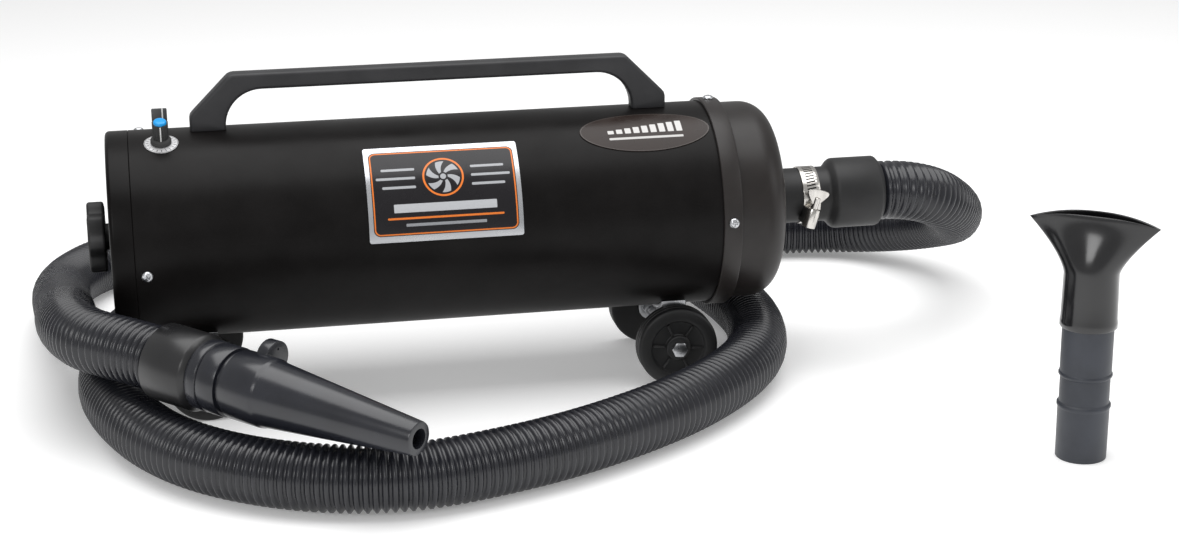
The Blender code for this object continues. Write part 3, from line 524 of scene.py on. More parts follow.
def finish_of(name, colour, rough, grain=900.0, relief=0.25, depth=0.00006, metallic=0.0, specular=0.5,
              coat=0.0, mottle=0.18, vary=0.07, wear=0.0, wear_colour=(0.10, 0.10, 0.105), stretch=None):
    """A painted, moulded or metal surface with grain, mottle, uneven gloss and worn edges."""
    found = bpy.data.materials.get(name)
    if found:
        return found
    graph = Graph(name)
    if stretch:
        mapping = graph.node("ShaderNodeMapping")
        graph.put(mapping.inputs["Vector"], graph.coords)
        mapping.inputs["Scale"].default_value = stretch
        graph.coords = mapping.outputs[0]
    broad = graph.noise(26.0, 4.0, 0.55)
    fine = graph.noise(grain, 3.0, 0.6)
    smudge = graph.noise(9.0, 5.0, 0.6)
    dark = tuple(c * (1 - mottle) for c in colour)
    light = tuple(min(1.0, c * (1 + mottle) + 0.002) for c in colour)
    base = graph.blend(broad.spread(0.35, 0.65), dark, light)
    gloss = smudge.spread(0.3, 0.7, rough - vary, rough + vary)
    if wear:
        edge = Term(graph, graph.node("ShaderNodeNewGeometry").outputs["Pointiness"])
        mask = edge.spread(0.52, 0.60) * fine.spread(0.35, 0.7, 0.3, 1.0) * wear
        base = graph.blend(mask, base, wear_colour)
        gloss = gloss + mask * 0.10
    return graph.surface(fine, relief, depth, base, Roughness=gloss, Metallic=metallic,
                         Specular_IOR_Level=specular, Coat_Weight=coat, Coat_Roughness=0.12)


def label_material(name, x, angle, radius):
    """Main plate: silver rim, orange keyline, dark gloss field, a plain fan roundel and bars."""
    graph = Graph(name)
    u, v = graph.drum_coords(x, angle, radius)
    silver, ink, orange, pale = (0.52, 0.53, 0.55), (0.010, 0.009, 0.011), (0.80, 0.20, 0.03), (0.40, 0.41, 0.43)
    field = graph.box(u, v, 0, 0, 0.0650, 0.0397, 0.0062).inside()
    keyline = graph.box(u, v, 0, 0, 0.0642, 0.0389, 0.0056).band(0.0, -0.0012)
    away, turn = graph.polar(u, v - 0.012)
    blades = graph.math("SINE", turn * 6.0 + away * 260.0).spread(-0.05, 0.05)
    masks = [(field, ink), (keyline, orange), (away.band(0.0150, 0.0042) * blades, pale),
             (away.band(0.0185, 0.0168), orange), (away.inside(0.0026), pale)]
    bars = [(side * (0.0250 + half), row, half, 0.0012, 0.0010, pale) for side in (-1, 1)
            for row, half in ((0.0205, 0.0150), (0.0120, 0.0175), (0.0035, 0.0150))]
    bars += [(0, -0.0155, 0.046, 0.0038, 0.0007, (0.50, 0.51, 0.53)), (0, -0.0245, 0.052, 0.0009, 0.0007, orange),
             (0, -0.0305, 0.036, 0.0013, 0.0007, (0.30, 0.31, 0.33))]
    masks += [(graph.box(u, v, *bar).inside(), tint) for *bar, tint in bars]
    return graph.surface(graph.noise(700.0), 0.10, PRINT_DEPTH, graph.layers(silver, *masks),
                         Metallic=(1.0 - field) * 0.8, Specular_IOR_Level=0.35,
                         Roughness=graph.noise(30.0, 4.0).spread(0.3, 0.7, 0.20, 0.34))


def badge_material(name, x, angle, radius):
    """Oval plate: dark brown gloss with a plain rising row of bars."""
    graph = Graph(name)
    u, v = graph.drum_coords(x, angle, radius)
    smudge = graph.noise(40.0, 4.0)
    away = graph.polar(u, v * (0.0605 / 0.0247))[0]
    ground = graph.blend(smudge.spread(0.3, 0.7), (0.022, 0.015, 0.013), (0.030, 0.021, 0.018))
    masks = [(away.band(0.0598, 0.0592), (0.10, 0.09, 0.085))]
    for step in range(9):
        high = 0.0022 + 0.0006 * step
        bar = graph.box(u, v, -0.032 + 0.008 * step, -0.0035 + high, 0.0028, high, 0.0006)
        masks.append((bar.inside(), (0.62, 0.61, 0.60)))
    masks.append((graph.box(u, v, 0, -0.0095, 0.0345, 0.0013, 0.0008).inside(), (0.55, 0.54, 0.53)))
    return graph.surface(graph.noise(800.0), 0.10, PRINT_DEPTH, graph.layers(ground, *masks),
                         Roughness=smudge.spread(0.3, 0.7, 0.22, 0.34), Specular_IOR_Level=0.22)


def dial_material(name, x, angle, radius):
    """Brushed disc with black tick marks all round."""
    graph = Graph(name)
    away, turn = graph.polar(*graph.drum_coords(x, angle, radius))
    ticks = graph.math("COSINE", turn * 20.0).spread(0.86, 0.90)
    colour = graph.layers((0.66, 0.66, 0.67), (away.band(0.0136, 0.0112) * ticks, (0.01, 0.01, 0.012)),
                          (away.band(0.0146, 0.0142), (0.03, 0.03, 0.035)))
    return graph.surface(graph.noise(1500.0, 2.0), 0.15, PRINT_DEPTH, colour, Metallic=0.35,
                         Roughness=graph.noise(60.0, 3.0).spread(0.3, 0.7, 0.30, 0.42))


def finishes():
    """Every plain finish by the name the operators use."""
    tint = bpy.context.scene.dryer_colours
    return {
        "steel": finish_of(
            "drum_powder_coat", tuple(tint.steel), 0.38, 1400.0, 0.30, 0.00005, specular=0.115,
            wear=0.25, wear_colour=(0.035, 0.033, 0.032)),
        "dome": finish_of(
            "dome_powder_coat", (0.0125, 0.0098, 0.0090), 0.42, 1400.0, 0.30, 0.00005, specular=0.36,
            wear=0.25, wear_colour=(0.06, 0.055, 0.052)),
        "handle": finish_of(
            "handle_moulded", tuple(tint.handle), 0.50, 1800.0, 0.45, 0.00007, specular=0.42, wear=0.30),
        "hose": finish_of(
            "hose_moulded", tuple(tint.hose), 0.27, 240.0, 0.10, 0.00005, specular=0.55, mottle=0.10, vary=0.05),
        "rubber": finish_of(
            "cuff_rubber", (0.012, 0.012, 0.0125), 0.52, 1500.0, 0.40, 0.00007, specular=0.40, wear=0.20),
        "cuff": finish_of(
            "nozzle_cuff_moulded", (0.0085, 0.0085, 0.0092), 0.32, 1100.0, 0.22, specular=0.55, wear=0.22),
        "wheel": finish_of(
            "wheel_tread", (0.013, 0.013, 0.0135), 0.50, 1200.0, 0.45, 0.00009, specular=0.42,
            wear=0.35, wear_colour=(0.055, 0.055, 0.055)),
        "nozzle": finish_of(
            "nozzle_moulded", tuple(tint.nozzle), 0.25, 900.0, 0.15, 0.00005, specular=0.62, wear=0.22,
            wear_colour=(0.075, 0.078, 0.085)),
        "tube": finish_of("tube_moulded", (0.030, 0.034, 0.044), 0.44, 1200.0, 0.30, specular=0.45, wear=0.20),
        "flare": finish_of(
            "flare_moulded", (0.007, 0.007, 0.008), 0.20, 700.0, 0.10, 0.00005, specular=0.55, coat=0.25, wear=0.15),
        "zinc": finish_of(
            "zinc_plate", (0.58, 0.59, 0.61), 0.30, 500.0, 0.20, 0.00005, metallic=1.0, mottle=0.14, vary=0.08),
        "stainless": finish_of(
            "stainless_band", (0.60, 0.58, 0.55), 0.24, 400.0, 0.20, 0.00004, metallic=1.0,
            mottle=0.10, vary=0.06, stretch=(8.0, 1.0, 1.0)),
        "knob": finish_of("knob_black", (0.012, 0.012, 0.013), 0.40, 900.0, 0.30, specular=0.45, wear=0.25),
        "blue": finish_of("knob_blue", tuple(tint.accent), 0.32, 900.0, 0.12, mottle=0.08),
        "white": finish_of("marker_white", (0.75, 0.75, 0.74), 0.40, 900.0, 0.12, mottle=0.06),
        "grey": finish_of("switch_grey", (0.045, 0.047, 0.050), 0.42, 900.0, 0.25, wear=0.25),
        "foam": finish_of("filter_foam", (0.05, 0.05, 0.055), 0.92, 420.0, 0.9, 0.0006, specular=0.2, mottle=0.4),
        "board": finish_of("board_green", (0.015, 0.11, 0.05), 0.45, 260.0, 0.3, mottle=0.25),
        "motor": finish_of(
            "motor_can", (0.36, 0.37, 0.39), 0.38, 350.0, 0.25, metallic=1.0, mottle=0.15, stretch=(6.0, 1.0, 1.0)),
        "fan": finish_of("fan_cast", (0.62, 0.63, 0.65), 0.36, 600.0, 0.3, metallic=1.0, mottle=0.12),
    }


# ---- drum and plates ----
def build_drum(context):
    size = context.scene.dryer_sizes
    r, sides = size.drum_radius, max(size.sides, 128)
    skin = r - 0.0015
    shell = [(skin, 0.268), (r - 0.0003, 0.268), (r, 0.2677), (r, -0.2727), (r - 0.0003, -0.273), (skin, -0.273)]
    piece = turned("drum_shell_skin", shell, sides, axial(), ring=True)
    done(piece, "steel", "drum_shell", smoothing=25)

    face = -0.2936
    lip = skin - 0.0003
    corner = [(r - 0.0042 + 0.0042 * math.sin(math.radians(t)), face + 0.0042 - 0.0042 * math.cos(math.radians(t)))
              for t in range(0, 91, 15)]
    cap = [(0.0, face + 0.0022), (r - 0.005, face + 0.0022), (lip - 0.0022, face + 0.0060), (lip - 0.0022, -0.256),
           (lip, -0.256), (lip, -0.2733), (r - 0.0004, -0.2733), (r, -0.2737)] + corner[::-1] + [(0.0, face)]
    piece = turned("intake_cap_skin", cap, sides, axial())
    cutter = None
    for index in range(10):
        turn = math.tau * (index + 0.5) / 10
        middle = spot(face, 0.064 * math.cos(turn), AXIS_Z + 0.064 * math.sin(turn))
        basis = shift(middle) @ Matrix.Rotation(turn, 4, "X") @ spin(90, "Y")
        slot = prism("slot", rounded_box(0.010, 0.030, 0.0048, 6), 0.014, basis)
        cutter = merge(cutter, slot) if cutter else slot
    combine(piece, cutter)
    drill(piece, 0.0034, 0.03, 24, along(spot(face - 0.01), (1, 0, 0)))
    soften(piece, 0.0004, 2, 50)
    done(piece, "steel", "intake_end_cap", smoothing=25)

    ring = size.ring_radius
    bend = [(0.0695 + 0.0230 * math.cos(math.radians(t)), 0.2935 + 0.0245 * math.sin(math.radians(t)))
            for t in range(0, 84, 7)]
    dome = [(ring - 0.0006, 0.2532), (ring, 0.2538), (ring, 0.2694), (ring - 0.0005, 0.2703), (ring - 0.0014, 0.2707),
            (0.0940, 0.2707), (0.0928, 0.2714), (0.0925, 0.2730)]
    dome += bend + mm((56, 318.6), (42, 319.6), (26, 320.6), (22.3, 320.6), (22.3, 318), (50, 315.5), (79, 305),
                      (88.5, 288), (89, 270)) + [(r + 0.0003, 0.2683), (r + 0.0003, 0.2532)]
    piece = turned("outlet_dome_skin", dome, sides, axial(), ring=True)
    done(piece, "dome", "outlet_end_dome", smoothing=30)

    head = mm((0, 2.9), (1.8, 2.8), (3.2, 2.4), (4.3, 1.6), (4.9, 0.6), (5, 0), (1.9, 0), (1.9, -7.2), (0, -8.2))
    screw = turned("pan_screw_master", head, 28, Matrix.Identity(4))
    for turn in (0, 90):
        place = shift((0, 0, 0.0027)) @ spin(turn)
        combine(screw, block("cross", (0.0052, 0.0011, 0.0026), place))
    soften(screw, 0.00012, 1, 50)
    smooth(screw, 40)
    spots = [("cap_screw_%d" % n, -0.2635, a, r) for n, a in enumerate((-6.8, 113.2, 233.2), 1)]
    spots += [("dome_screw_%d" % n, 0.2620, a, ring) for n, a in enumerate((2.9, 92.9, 182.9, 272.9), 1)]
    for number, (node, x, angle, surface) in enumerate(spots):
        place = on_drum(angle, surface + 0.0003, x) @ spin(17 + 23 * number)
        done(duplicate(screw, node + "_pan", place), "zinc", node, smoothing=0)
    for side, x in (("left", -WHEEL_X), ("right", WHEEL_X)):
        place = along(spot(x, 0, AXIS_Z - 0.0985), (0, 0, -1))
        done(duplicate(screw, "bracket_screw_%s_pan" % side, place), "zinc", "bracket_screw_" + side, smoothing=0)
    bpy.data.objects.remove(screw, do_unlink=True)


def curved_plate(name, outline, x, angle, thick, radius):
    inner = radius + 0.0003
    ring = [(inner, x + 0.08), (inner + thick, x + 0.08), (inner + thick, x - 0.08), (inner, x - 0.08)]
    plate = turned(name, ring, 192, axial(), ring=True)
    return combine(plate, prism("outline", outline, 0.060, on_drum(angle, radius, x)), "INTERSECT")


def build_plates(context):
    r = context.scene.dryer_sizes.drum_radius
    main = curved_plate("label_plate_skin", rounded_box(0.138, 0.0873, 0.002, 4), 0.0, LABEL_ANGLE, 0.0005, r)
    done(main, label_material("label_print", 0.0, LABEL_ANGLE, r + 0.0008), "label_plate", slot="label_face")
    oval = [(0.0605 * math.cos(t), 0.0247 * math.sin(t)) for t in np.linspace(0, math.tau, 65)[:-1]]
    badge = curved_plate("oval_badge_skin", oval, BADGE_X, BADGE_ANGLE, 0.0005, r)
    done(badge, badge_material("badge_print", BADGE_X, BADGE_ANGLE, r + 0.0008), "power_badge", slot="badge_face")
    dial = curved_plate("dial_plate_skin", arc(0, 0, 0.015, 0, 354, 59), CONTROL_X, SPEED_ANGLE, 0.0006, r)
    drill(dial, 0.0045, 0.02, 24, on_drum(SPEED_ANGLE, r - 0.01, CONTROL_X))
    done(dial, dial_material("dial_print", CONTROL_X, SPEED_ANGLE, r + 0.0009), "speed_dial_plate", slot="dial_face")


# ---- handle ----
def build_handle(context):
    size = context.scene.dryer_sizes
    top = size.handle_height
    half = mm((218, 242), (218, 263), (217.2, 266.2), (215, 269), (184.5, 299.5))
    half += [(0.1825, 0.3013), (0.1798, 0.3025), (0.1770, top)]
    hollow = arc(0.153, 0.255, 0.033, 90, 0, 12)
    inner = [(0.186, 0.242)] + hollow[::-1]
    outline = mirrored(half) + half[::-1] + inner + mirrored(inner[::-1])
    place = shift(BASE) @ spin(90, "X")
    piece = prism("carry_handle_skin", outline, size.handle_depth, place, bevel=0.0033, segments=4)
    drill(piece, size.drum_radius + 0.0003, 0.5, 128, axial(-0.25))
    for side in (-1, 1):
        foot = spot(side * 0.202, 0, AXIS_Z + size.drum_radius - 0.01)
        drill(piece, 0.0027, 0.026, 16, along(foot, (0, 0, 1)))
    soften(piece, 0.0005, 2, 50)
    done(piece, "handle", "carry_handle", smoothing=40)


# ---- wheels and brackets ----
def build_running_gear(context):
    size = context.scene.dryer_sizes
    r, half = size.wheel_radius, 0.01015
    tread = [(r - 0.0030 + 0.0030 * math.sin(math.radians(t)), half - 0.0030 + 0.0030 * math.cos(math.radians(t)))
             for t in range(0, 91, 18)]
    tread += [(r, 0.0034), (r - 0.0007, 0.0029), (r - 0.0007, 0.0021), (r, 0.0016)]
    tread += [(x, -z) for x, z in tread[::-1]]
    profile = [(0.0043, half + 0.0012), (0.0108, half + 0.0012), (0.0115, half + 0.0005), (0.0117, half - 0.0030),
               (0.0124, half - 0.0036), (0.0238, half - 0.0036), (0.0248, half - 0.0030), (0.0258, half - 0.0006),
               (0.0266, half)] + tread + [(0.0266, -half), (0.0043, -half)]
    master = turned("wheel_master", profile, size.sides, Matrix.Identity(4), ring=True)
    for index in range(6):
        turn = Matrix.Rotation(math.tau * index / 6, 4, "Z")
        web = block("web", (0.0112, 0.0022, 0.0024), turn @ shift((0.0180, 0, half - 0.0030)), 0.0005, 2)
        merge(master, web)
    smooth(master, 38)
    nut_outline = arc(0, 0, 0.0065 / math.cos(math.pi / 6), 0, 300, 5)
    head_in = WHEEL_TRACK + half + 0.0012 + 0.0003
    bolt = prism("bolt_master", nut_outline, 0.0050, shift((0, 0, 0.0025)))
    crown = mm((0, 20), (5.8, 20), (6.55, 5), (7.65, 4.3), (10.5, 0), (0, -0.1))
    combine(bolt, turned("crown", crown, 48, Matrix.Identity(4)), "INTERSECT")
    shank = [(0.0, 0.0012), (0.0040, 0.0012), (0.0040, -(head_in - 0.0408)), (0.0036, -(head_in - 0.0400)),
             (0.0, -(head_in - 0.0400))]
    merge(bolt, turned("shank", shank, 24, Matrix.Identity(4)))
    soften(bolt, 0.0002, 2, 40)
    smooth(bolt, 40)
    for x, end in ((-WHEEL_X, "left"), (WHEEL_X, "right")):
        for side, word in ((-1, "front"), (1, "rear")):
            tail = "%s_%s" % (word, end)
            start = spin(13 + 41 * (x > 0) + 19 * (side > 0))
            at = spot(x, side * WHEEL_TRACK, r)
            wheel = duplicate(master, "wheel_%s_tyre" % tail, along(at, (0, side, 0)) @ start)
            done(wheel, "wheel", "wheel_" + tail, smoothing=0, body="wheel_" + tail)
            at = spot(x, side * head_in, r)
            copy = duplicate(bolt, "axle_bolt_%s_hex" % tail, along(at, (0, side, 0)) @ start)
            done(copy, "zinc", "axle_bolt_" + tail, smoothing=0)
            done(refined("lock_nut_" + tail, "lock_nut_%s_hex" % tail, 0.0004), "zinc", "lock_nut_" + tail, smoothing=0)
        strap = refined("wheel_bracket_" + end, "wheel_bracket_%s_strap" % end, 0.0005)
        done(strap, "zinc", "wheel_bracket_" + end, smoothing=0)
    for spare in (master, bolt):
        bpy.data.objects.remove(spare, do_unlink=True)


# ---- controls ----
def build_controls(context):
    r = context.scene.dryer_sizes.drum_radius
    top = 0.0195
    place = on_drum(SPEED_ANGLE, r + 0.0012, CONTROL_X)
    skirt = mm((0, 5), (7.2, 5), (8.6, 4), (9.2, 3), (9.2, 0.4), (8.8, 0), (3.3, 0), (3.3, 4), (0, 4))
    knob = turned("speed_knob_fluted", skirt, 64, place)
    flutes = [(0.0066 + 0.00035 * math.cos(18 * t), t) for t in np.linspace(0, math.tau, 145)[:-1]]
    outline = [(q * math.cos(t), q * math.sin(t)) for q, t in flutes]
    merge(knob, prism("body", outline, top - 0.0046, place @ shift((0, 0, (top + 0.0046) / 2)), 0.0005, 2))
    done(knob, "knob", "speed_knob", body="speed_knob")
    cap = [(0.0, top + 0.0031), (0.0040, top + 0.00305), (0.0050, top + 0.0028), (0.0056, top + 0.0022),
           (0.0058, top + 0.0014), (0.0058, top + 0.0003), (0.0, top + 0.0003)]
    blue = turned("speed_knob_blue_cap", cap, 64, place)
    done(blue, "blue", "speed_knob_cap", body="speed_knob")
    mark = block("speed_knob_pointer", (0.0011, 0.0004, 0.0150), place @ shift((0, -0.0070, 0.0118)), 0.00012, 2)
    done(mark, "white", body="speed_knob")
    place = on_drum(SWITCH_ANGLE, r + 0.0006, CONTROL_X)
    base = mm((0, 7), (6, 6.9), (6.8, 6.4), (7.3, 5.6), (7.3, 0.3), (7, 0), (3.3, 0), (3.3, 6), (0, 6))
    knob = turned("switch_knob_bar", base, 64, place)
    grip = place @ shift((0, 0, 0.0118))
    merge(knob, block("grip", (0.0140, 0.0056, 0.0120), grip, 0.0012, 3))
    done(knob, "grey", "switch_knob", body="switch_knob")
    mark = block("switch_knob_pointer", (0.0012, 0.0004, 0.0120), grip @ shift((0.0028, -0.0028, 0)), 0.0001, 2)
    merge(mark, block("cap", (0.0012, 0.0052, 0.0004), grip @ shift((0.0028, 0, 0.0060)), 0.0001, 2))
    done(mark, "white", slot="grey_plastic", body="switch_knob")
    done(refined("cord_gland", "cord_gland_collar", 0.0005), "rubber", "cord_gland")


def build_filter_knob(context):
    angles = np.linspace(0, math.tau, 129)[:-1]
    lobes = [(0.0302 + 0.0028 * math.cos(8 * t), t) for t in angles]
    outline = [(reach * math.cos(t), reach * math.sin(t)) for reach, t in lobes]
    place = along(spot(FILTER_KNOB_X), (-1, 0, 0))
    knob = prism("filter_knob_lobed", outline, 0.0155, place, bevel=0.0026, segments=4)
    dish = mm((0, 4), (21, 4), (20.5, 0), (18.5, -1.2), (0, -1.2))
    combine(knob, turned("dish", dish, 64, along(spot(FILTER_KNOB_X - 0.00775), (-1, 0, 0))))
    combine(knob, rod("boss", 0.012, 0.0079, 48, along(spot(-0.3018), (1, 0, 0))), "UNION")
    drill(knob, 0.0033, 0.0155, 24, along(spot(-0.3086), (1, 0, 0)))
    done(knob, "rubber", "filter_knob", body="filter_knob")


# ---- outlet and clamp ----
def build_outlet(context):
    sides = context.scene.dryer_sizes.sides
    spigot = mm((20, 352), (21.6, 352), (22, 351.5), (22, 315), (32, 315), (32, 312.2), (20, 312.2))
    piece = turned("outlet_spigot_skin", spigot, sides, axial(), ring=True)
    done(piece, "dome", "outlet_spigot")
    cuff = mm((22.3, 428.8), (28.8, 428.8), (29.4, 428.3), (33, 424.9), (33.5, 423.8), (33.5, 384.5), (33.1, 382.6),
              (31.8, 380.5), (28, 377.2), (26.6, 375.7), (26, 373.8), (26, 324.2), (25.4, 323.6), (22.3, 323.6))
    piece = turned("outlet_cuff_skin", cuff, sides, axial(), ring=True)
    done(piece, "rubber", "outlet_hose_cuff", smoothing=40)
    build_clamp()


def build_clamp():
    middle, half, inner = 0.3567, 0.0083, 0.0263
    ring = [(inner, middle + half), (inner + 0.0008, middle + half), (inner + 0.0010, middle + half - 0.0003),
            (inner + 0.0010, middle - half + 0.0003), (inner + 0.0008, middle - half), (inner, middle - half)]
    band = turned("clamp_band_skin", ring, 96, axial(), ring=True)
    cutter = None
    for index in range(11):
        at = on_drum(20 + index * 7.0, inner + 0.0008, middle)
        slot = block("slot", (0.0088, 0.0014, 0.0022), at @ Matrix.Rotation(0.16, 4, "Z"))
        cutter = merge(cutter, slot) if cutter else slot
    combine(band, cutter)
    low = shift(spot(middle - 0.005, -0.0395, AXIS_Z - 0.0118)) @ spin(17, "Y")
    house = rod("house", 0.0066, 0.018, 40, low @ shift((0, 0, -0.009)))
    combine(house, block("saddle", (0.0110, 0.0190, 0.0150), low @ shift((0, 0.0083, 0))), "UNION")
    drill(house, inner, 0.04, 96, axial(middle - 0.02))
    drill(house, 0.0037, 0.04, 32, low @ shift((0, 0, -0.006)))
    soften(house, 0.0005, 2, 45)
    merge(band, house)
    done(band, "stainless", "hose_clamp_band")
    screw = mm((0, 20), (3, 20), (3.3, 19.7), (3.3, 9))
    for level in np.arange(0.0085, -0.0050, -0.0011):
        screw += [(0.0033, float(level)), (0.0026, float(level) - 0.00055)]
    screw += mm((3, -5.5), (0, -5.5))
    piece = turned("clamp_key_skin", screw, 32, low)
    wing = mm((3, 13), (8, 18), (11.8, 22.2), (12.6, 23.8), (12.6, 25.2), (11, 26.8), (6, 27.7), (0, 28))
    outline = wing + mirrored(wing[-2::-1])
    merge(piece, prism("wing", outline, 0.0018, low @ spin(20) @ spin(90, "X"), 0.0006, 3))
    done(piece, "stainless", "clamp_screw", body="clamp_screw")


# ---- hose ----
def smooth_line(route, count, lead=0.008):
    """A natural cubic spline through the route, read at even distances."""
    points = np.array(route)
    knots = np.concatenate(([0.0], np.cumsum(np.linalg.norm(np.diff(points, axis=0), axis=1) ** 0.5)))
    step = np.diff(knots)
    size = len(points)
    matrix = np.eye(size)
    right = np.zeros_like(points)
    for i in range(1, size - 1):
        matrix[i, i - 1:i + 2] = (step[i - 1], 2 * (step[i - 1] + step[i]), step[i])
        right[i] = 6 * ((points[i + 1] - points[i]) / step[i] - (points[i] - points[i - 1]) / step[i - 1])
    bend = np.linalg.solve(matrix, right)
    fine = np.linspace(0.0, knots[-1], 6000)
    seg = np.clip(np.searchsorted(knots, fine, side="right") - 1, 0, size - 2)
    h = step[seg][:, None]
    a = (knots[seg + 1] - fine)[:, None] / h
    b = 1.0 - a
    sag = (a ** 3 - a) * bend[seg] + (b ** 3 - b) * bend[seg + 1]
    line = a * points[seg] + b * points[seg + 1] + sag * h ** 2 / 6
    run = np.concatenate(([0.0], np.cumsum(np.linalg.norm(np.diff(line, axis=0), axis=1))))
    even = np.concatenate(([0.0], np.linspace(lead, run[-1] - lead, count - 2), [run[-1]]))
    return np.array([[float(np.interp(d, run, line[:, k])) for k in range(3)] for d in even]), float(run[-1])


def build_hose(context):
    size = context.scene.hose_sizes
    line, length = smooth_line(HOSE_ROUTE, 900)
    line = line + np.array(BASE)
    count = int(round(length / size.pitch))
    pitch = length / count
    crest, valley = size.diameter / 2, size.valley_radius
    obj = circle("corrugated_hose", size.sides, valley)
    at, here = 0.0, valley
    for part, radius in ((0.20, crest - 0.0023), (0.41, crest - 0.0002), (0.59, crest - 0.0002),
                         (0.80, crest - 0.0023), (1.0, valley)):
        pull(0, 0, (part - at) * pitch)
        bpy.ops.transform.resize(value=(radius / here, radius / here, 1), center_override=(0, 0, part * pitch))
        at, here = part, radius
    leave()
    settle(obj, spin(90, "Y"))
    edit()
    bpy.ops.mesh.normals_make_consistent(inside=False)
    leave()
    curve = bpy.data.curves.new("hose_centreline", "CURVE")
    curve.dimensions = "3D"
    spline = curve.splines.new("POLY")
    spline.points.add(len(line) - 1)
    for point, where in zip(spline.points, line):
        point.co = (*where, 1.0)
    guide = bpy.data.objects.new("hose_centreline", curve)
    context.collection.objects.link(guide)
    apply_modifier(obj, "ARRAY", fit_type="FIXED_COUNT", count=count, use_relative_offset=False,
                   use_constant_offset=True, constant_offset_displace=(pitch, 0, 0), use_merge_vertices=True,
                   merge_threshold=1e-5)
    apply_modifier(obj, "CURVE", object=guide, deform_axis="POS_X")
    bpy.data.objects.remove(guide, do_unlink=True)
    pick(obj)
    bpy.ops.object.shade_smooth()
    done(obj, "hose", "hose", smoothing=0)
    path = [tuple(point) for point in line[::3].tolist() + [line[-1].tolist()]]
    return obj, path, line[0].tolist(), length


# ---- nozzle ----
def build_nozzle(context):
    sides = context.scene.dryer_sizes.sides
    place = along(NOZZLE_START, NOZZLE_AXIS)
    cuff = mm((24, 52), (29, 52), (29.7, 51.5), (32.8, 48.4), (33.5, 46.8), (33.5, 5.2), (32.8, 4.2), (29.4, 1.2),
              (28.8, 0.8), (24, 0.8))
    piece = turned("nozzle_cuff_skin", cuff, sides, place, ring=True)
    done(piece, "cuff", "nozzle_hose_cuff", smoothing=40)
    bands = mm((19, 115), (21, 115), (21.5, 114.5), (22, 88), (26.8, 87.6), (27, 87.2), (27, 83.8), (29.6, 83.2),
               (30.2, 82.4), (30.2, 65.6), (29.9, 64.8), (29, 64.3), (29, 63.5), (30.1, 63), (30.5, 62.2), (30.5, 53),
               (30, 52.3), (23.5, 52.3), (23.5, 35), (19, 35))
    coupler = turned("nozzle_coupler_skin", bands, sides, place, ring=True)
    done(coupler, "nozzle", "nozzle_coupler", smoothing=40)
    base, tip = 0.0880, 0.2730
    profile = [(0.0085, tip), (0.0132, tip), (0.0140, tip - 0.0004), (0.0144, tip - 0.0014), (0.0283, 0.1250),
               (0.0286, 0.1238), (0.0294, 0.1222), (0.0297, 0.1205), (0.0297, base + 0.0014), (0.0293, base + 0.0004),
               (0.0285, base), (0.0223, base), (0.0223, 0.1165), (0.0200, 0.1200), (0.0085, 0.2500)]
    cone = turned("cone_nozzle_skin", profile, 128, place, ring=True)
    sideways = Vector((0, 0, 1)).cross(NOZZLE_AXIS).normalized()
    upwards = NOZZLE_AXIS.cross(sideways)
    centre = NOZZLE_START + NOZZLE_AXIS * (base + 0.0160) + sideways * 0.0215 + upwards * 0.0215
    lug = rod("lug", 0.0150, 0.0110, 64, along(centre - NOZZLE_AXIS * 0.0055, NOZZLE_AXIS), 0.0009)
    drill(lug, 0.0235, 0.04, 64, along(NOZZLE_START + NOZZLE_AXIS * (base - 0.01), NOZZLE_AXIS))
    combine(cone, lug, "UNION")
    for shift_side, shift_up in ((0.0015, 0.0080), (-0.0025, 0.0)):
        hole = centre + sideways * shift_side + upwards * shift_up - NOZZLE_AXIS * 0.02
        drill(cone, 0.0011, 0.04, 16, along(hole, NOZZLE_AXIS))
    done(cone, "nozzle", "cone_nozzle", smoothing=40, body="nozzle")
    return piece, coupler, cone


# ---- loose fishtail nozzle ----
def flare_point(level, turn, base, high, arch, inset):
    """A point of the fishtail's wall at a level of 0 to 1 above its neck."""
    ease = level * level * (3 - 2 * level)
    half_long = 0.0232 + (0.0550 - 0.0232) * level ** 1.35
    half_deep = 0.0232 + (0.0100 - 0.0232) * ease
    c, s = math.cos(turn), math.sin(turn)
    pinch = 1.0 - 0.55 * level * abs(c) ** 1.6
    x = (half_long - inset) * math.copysign(abs(c) ** (1.0 - 0.15 * level), c)
    y = (half_deep * pinch - inset) * s
    return x, y, base + (high - base) * level + arch * level * (1.0 - c * c)


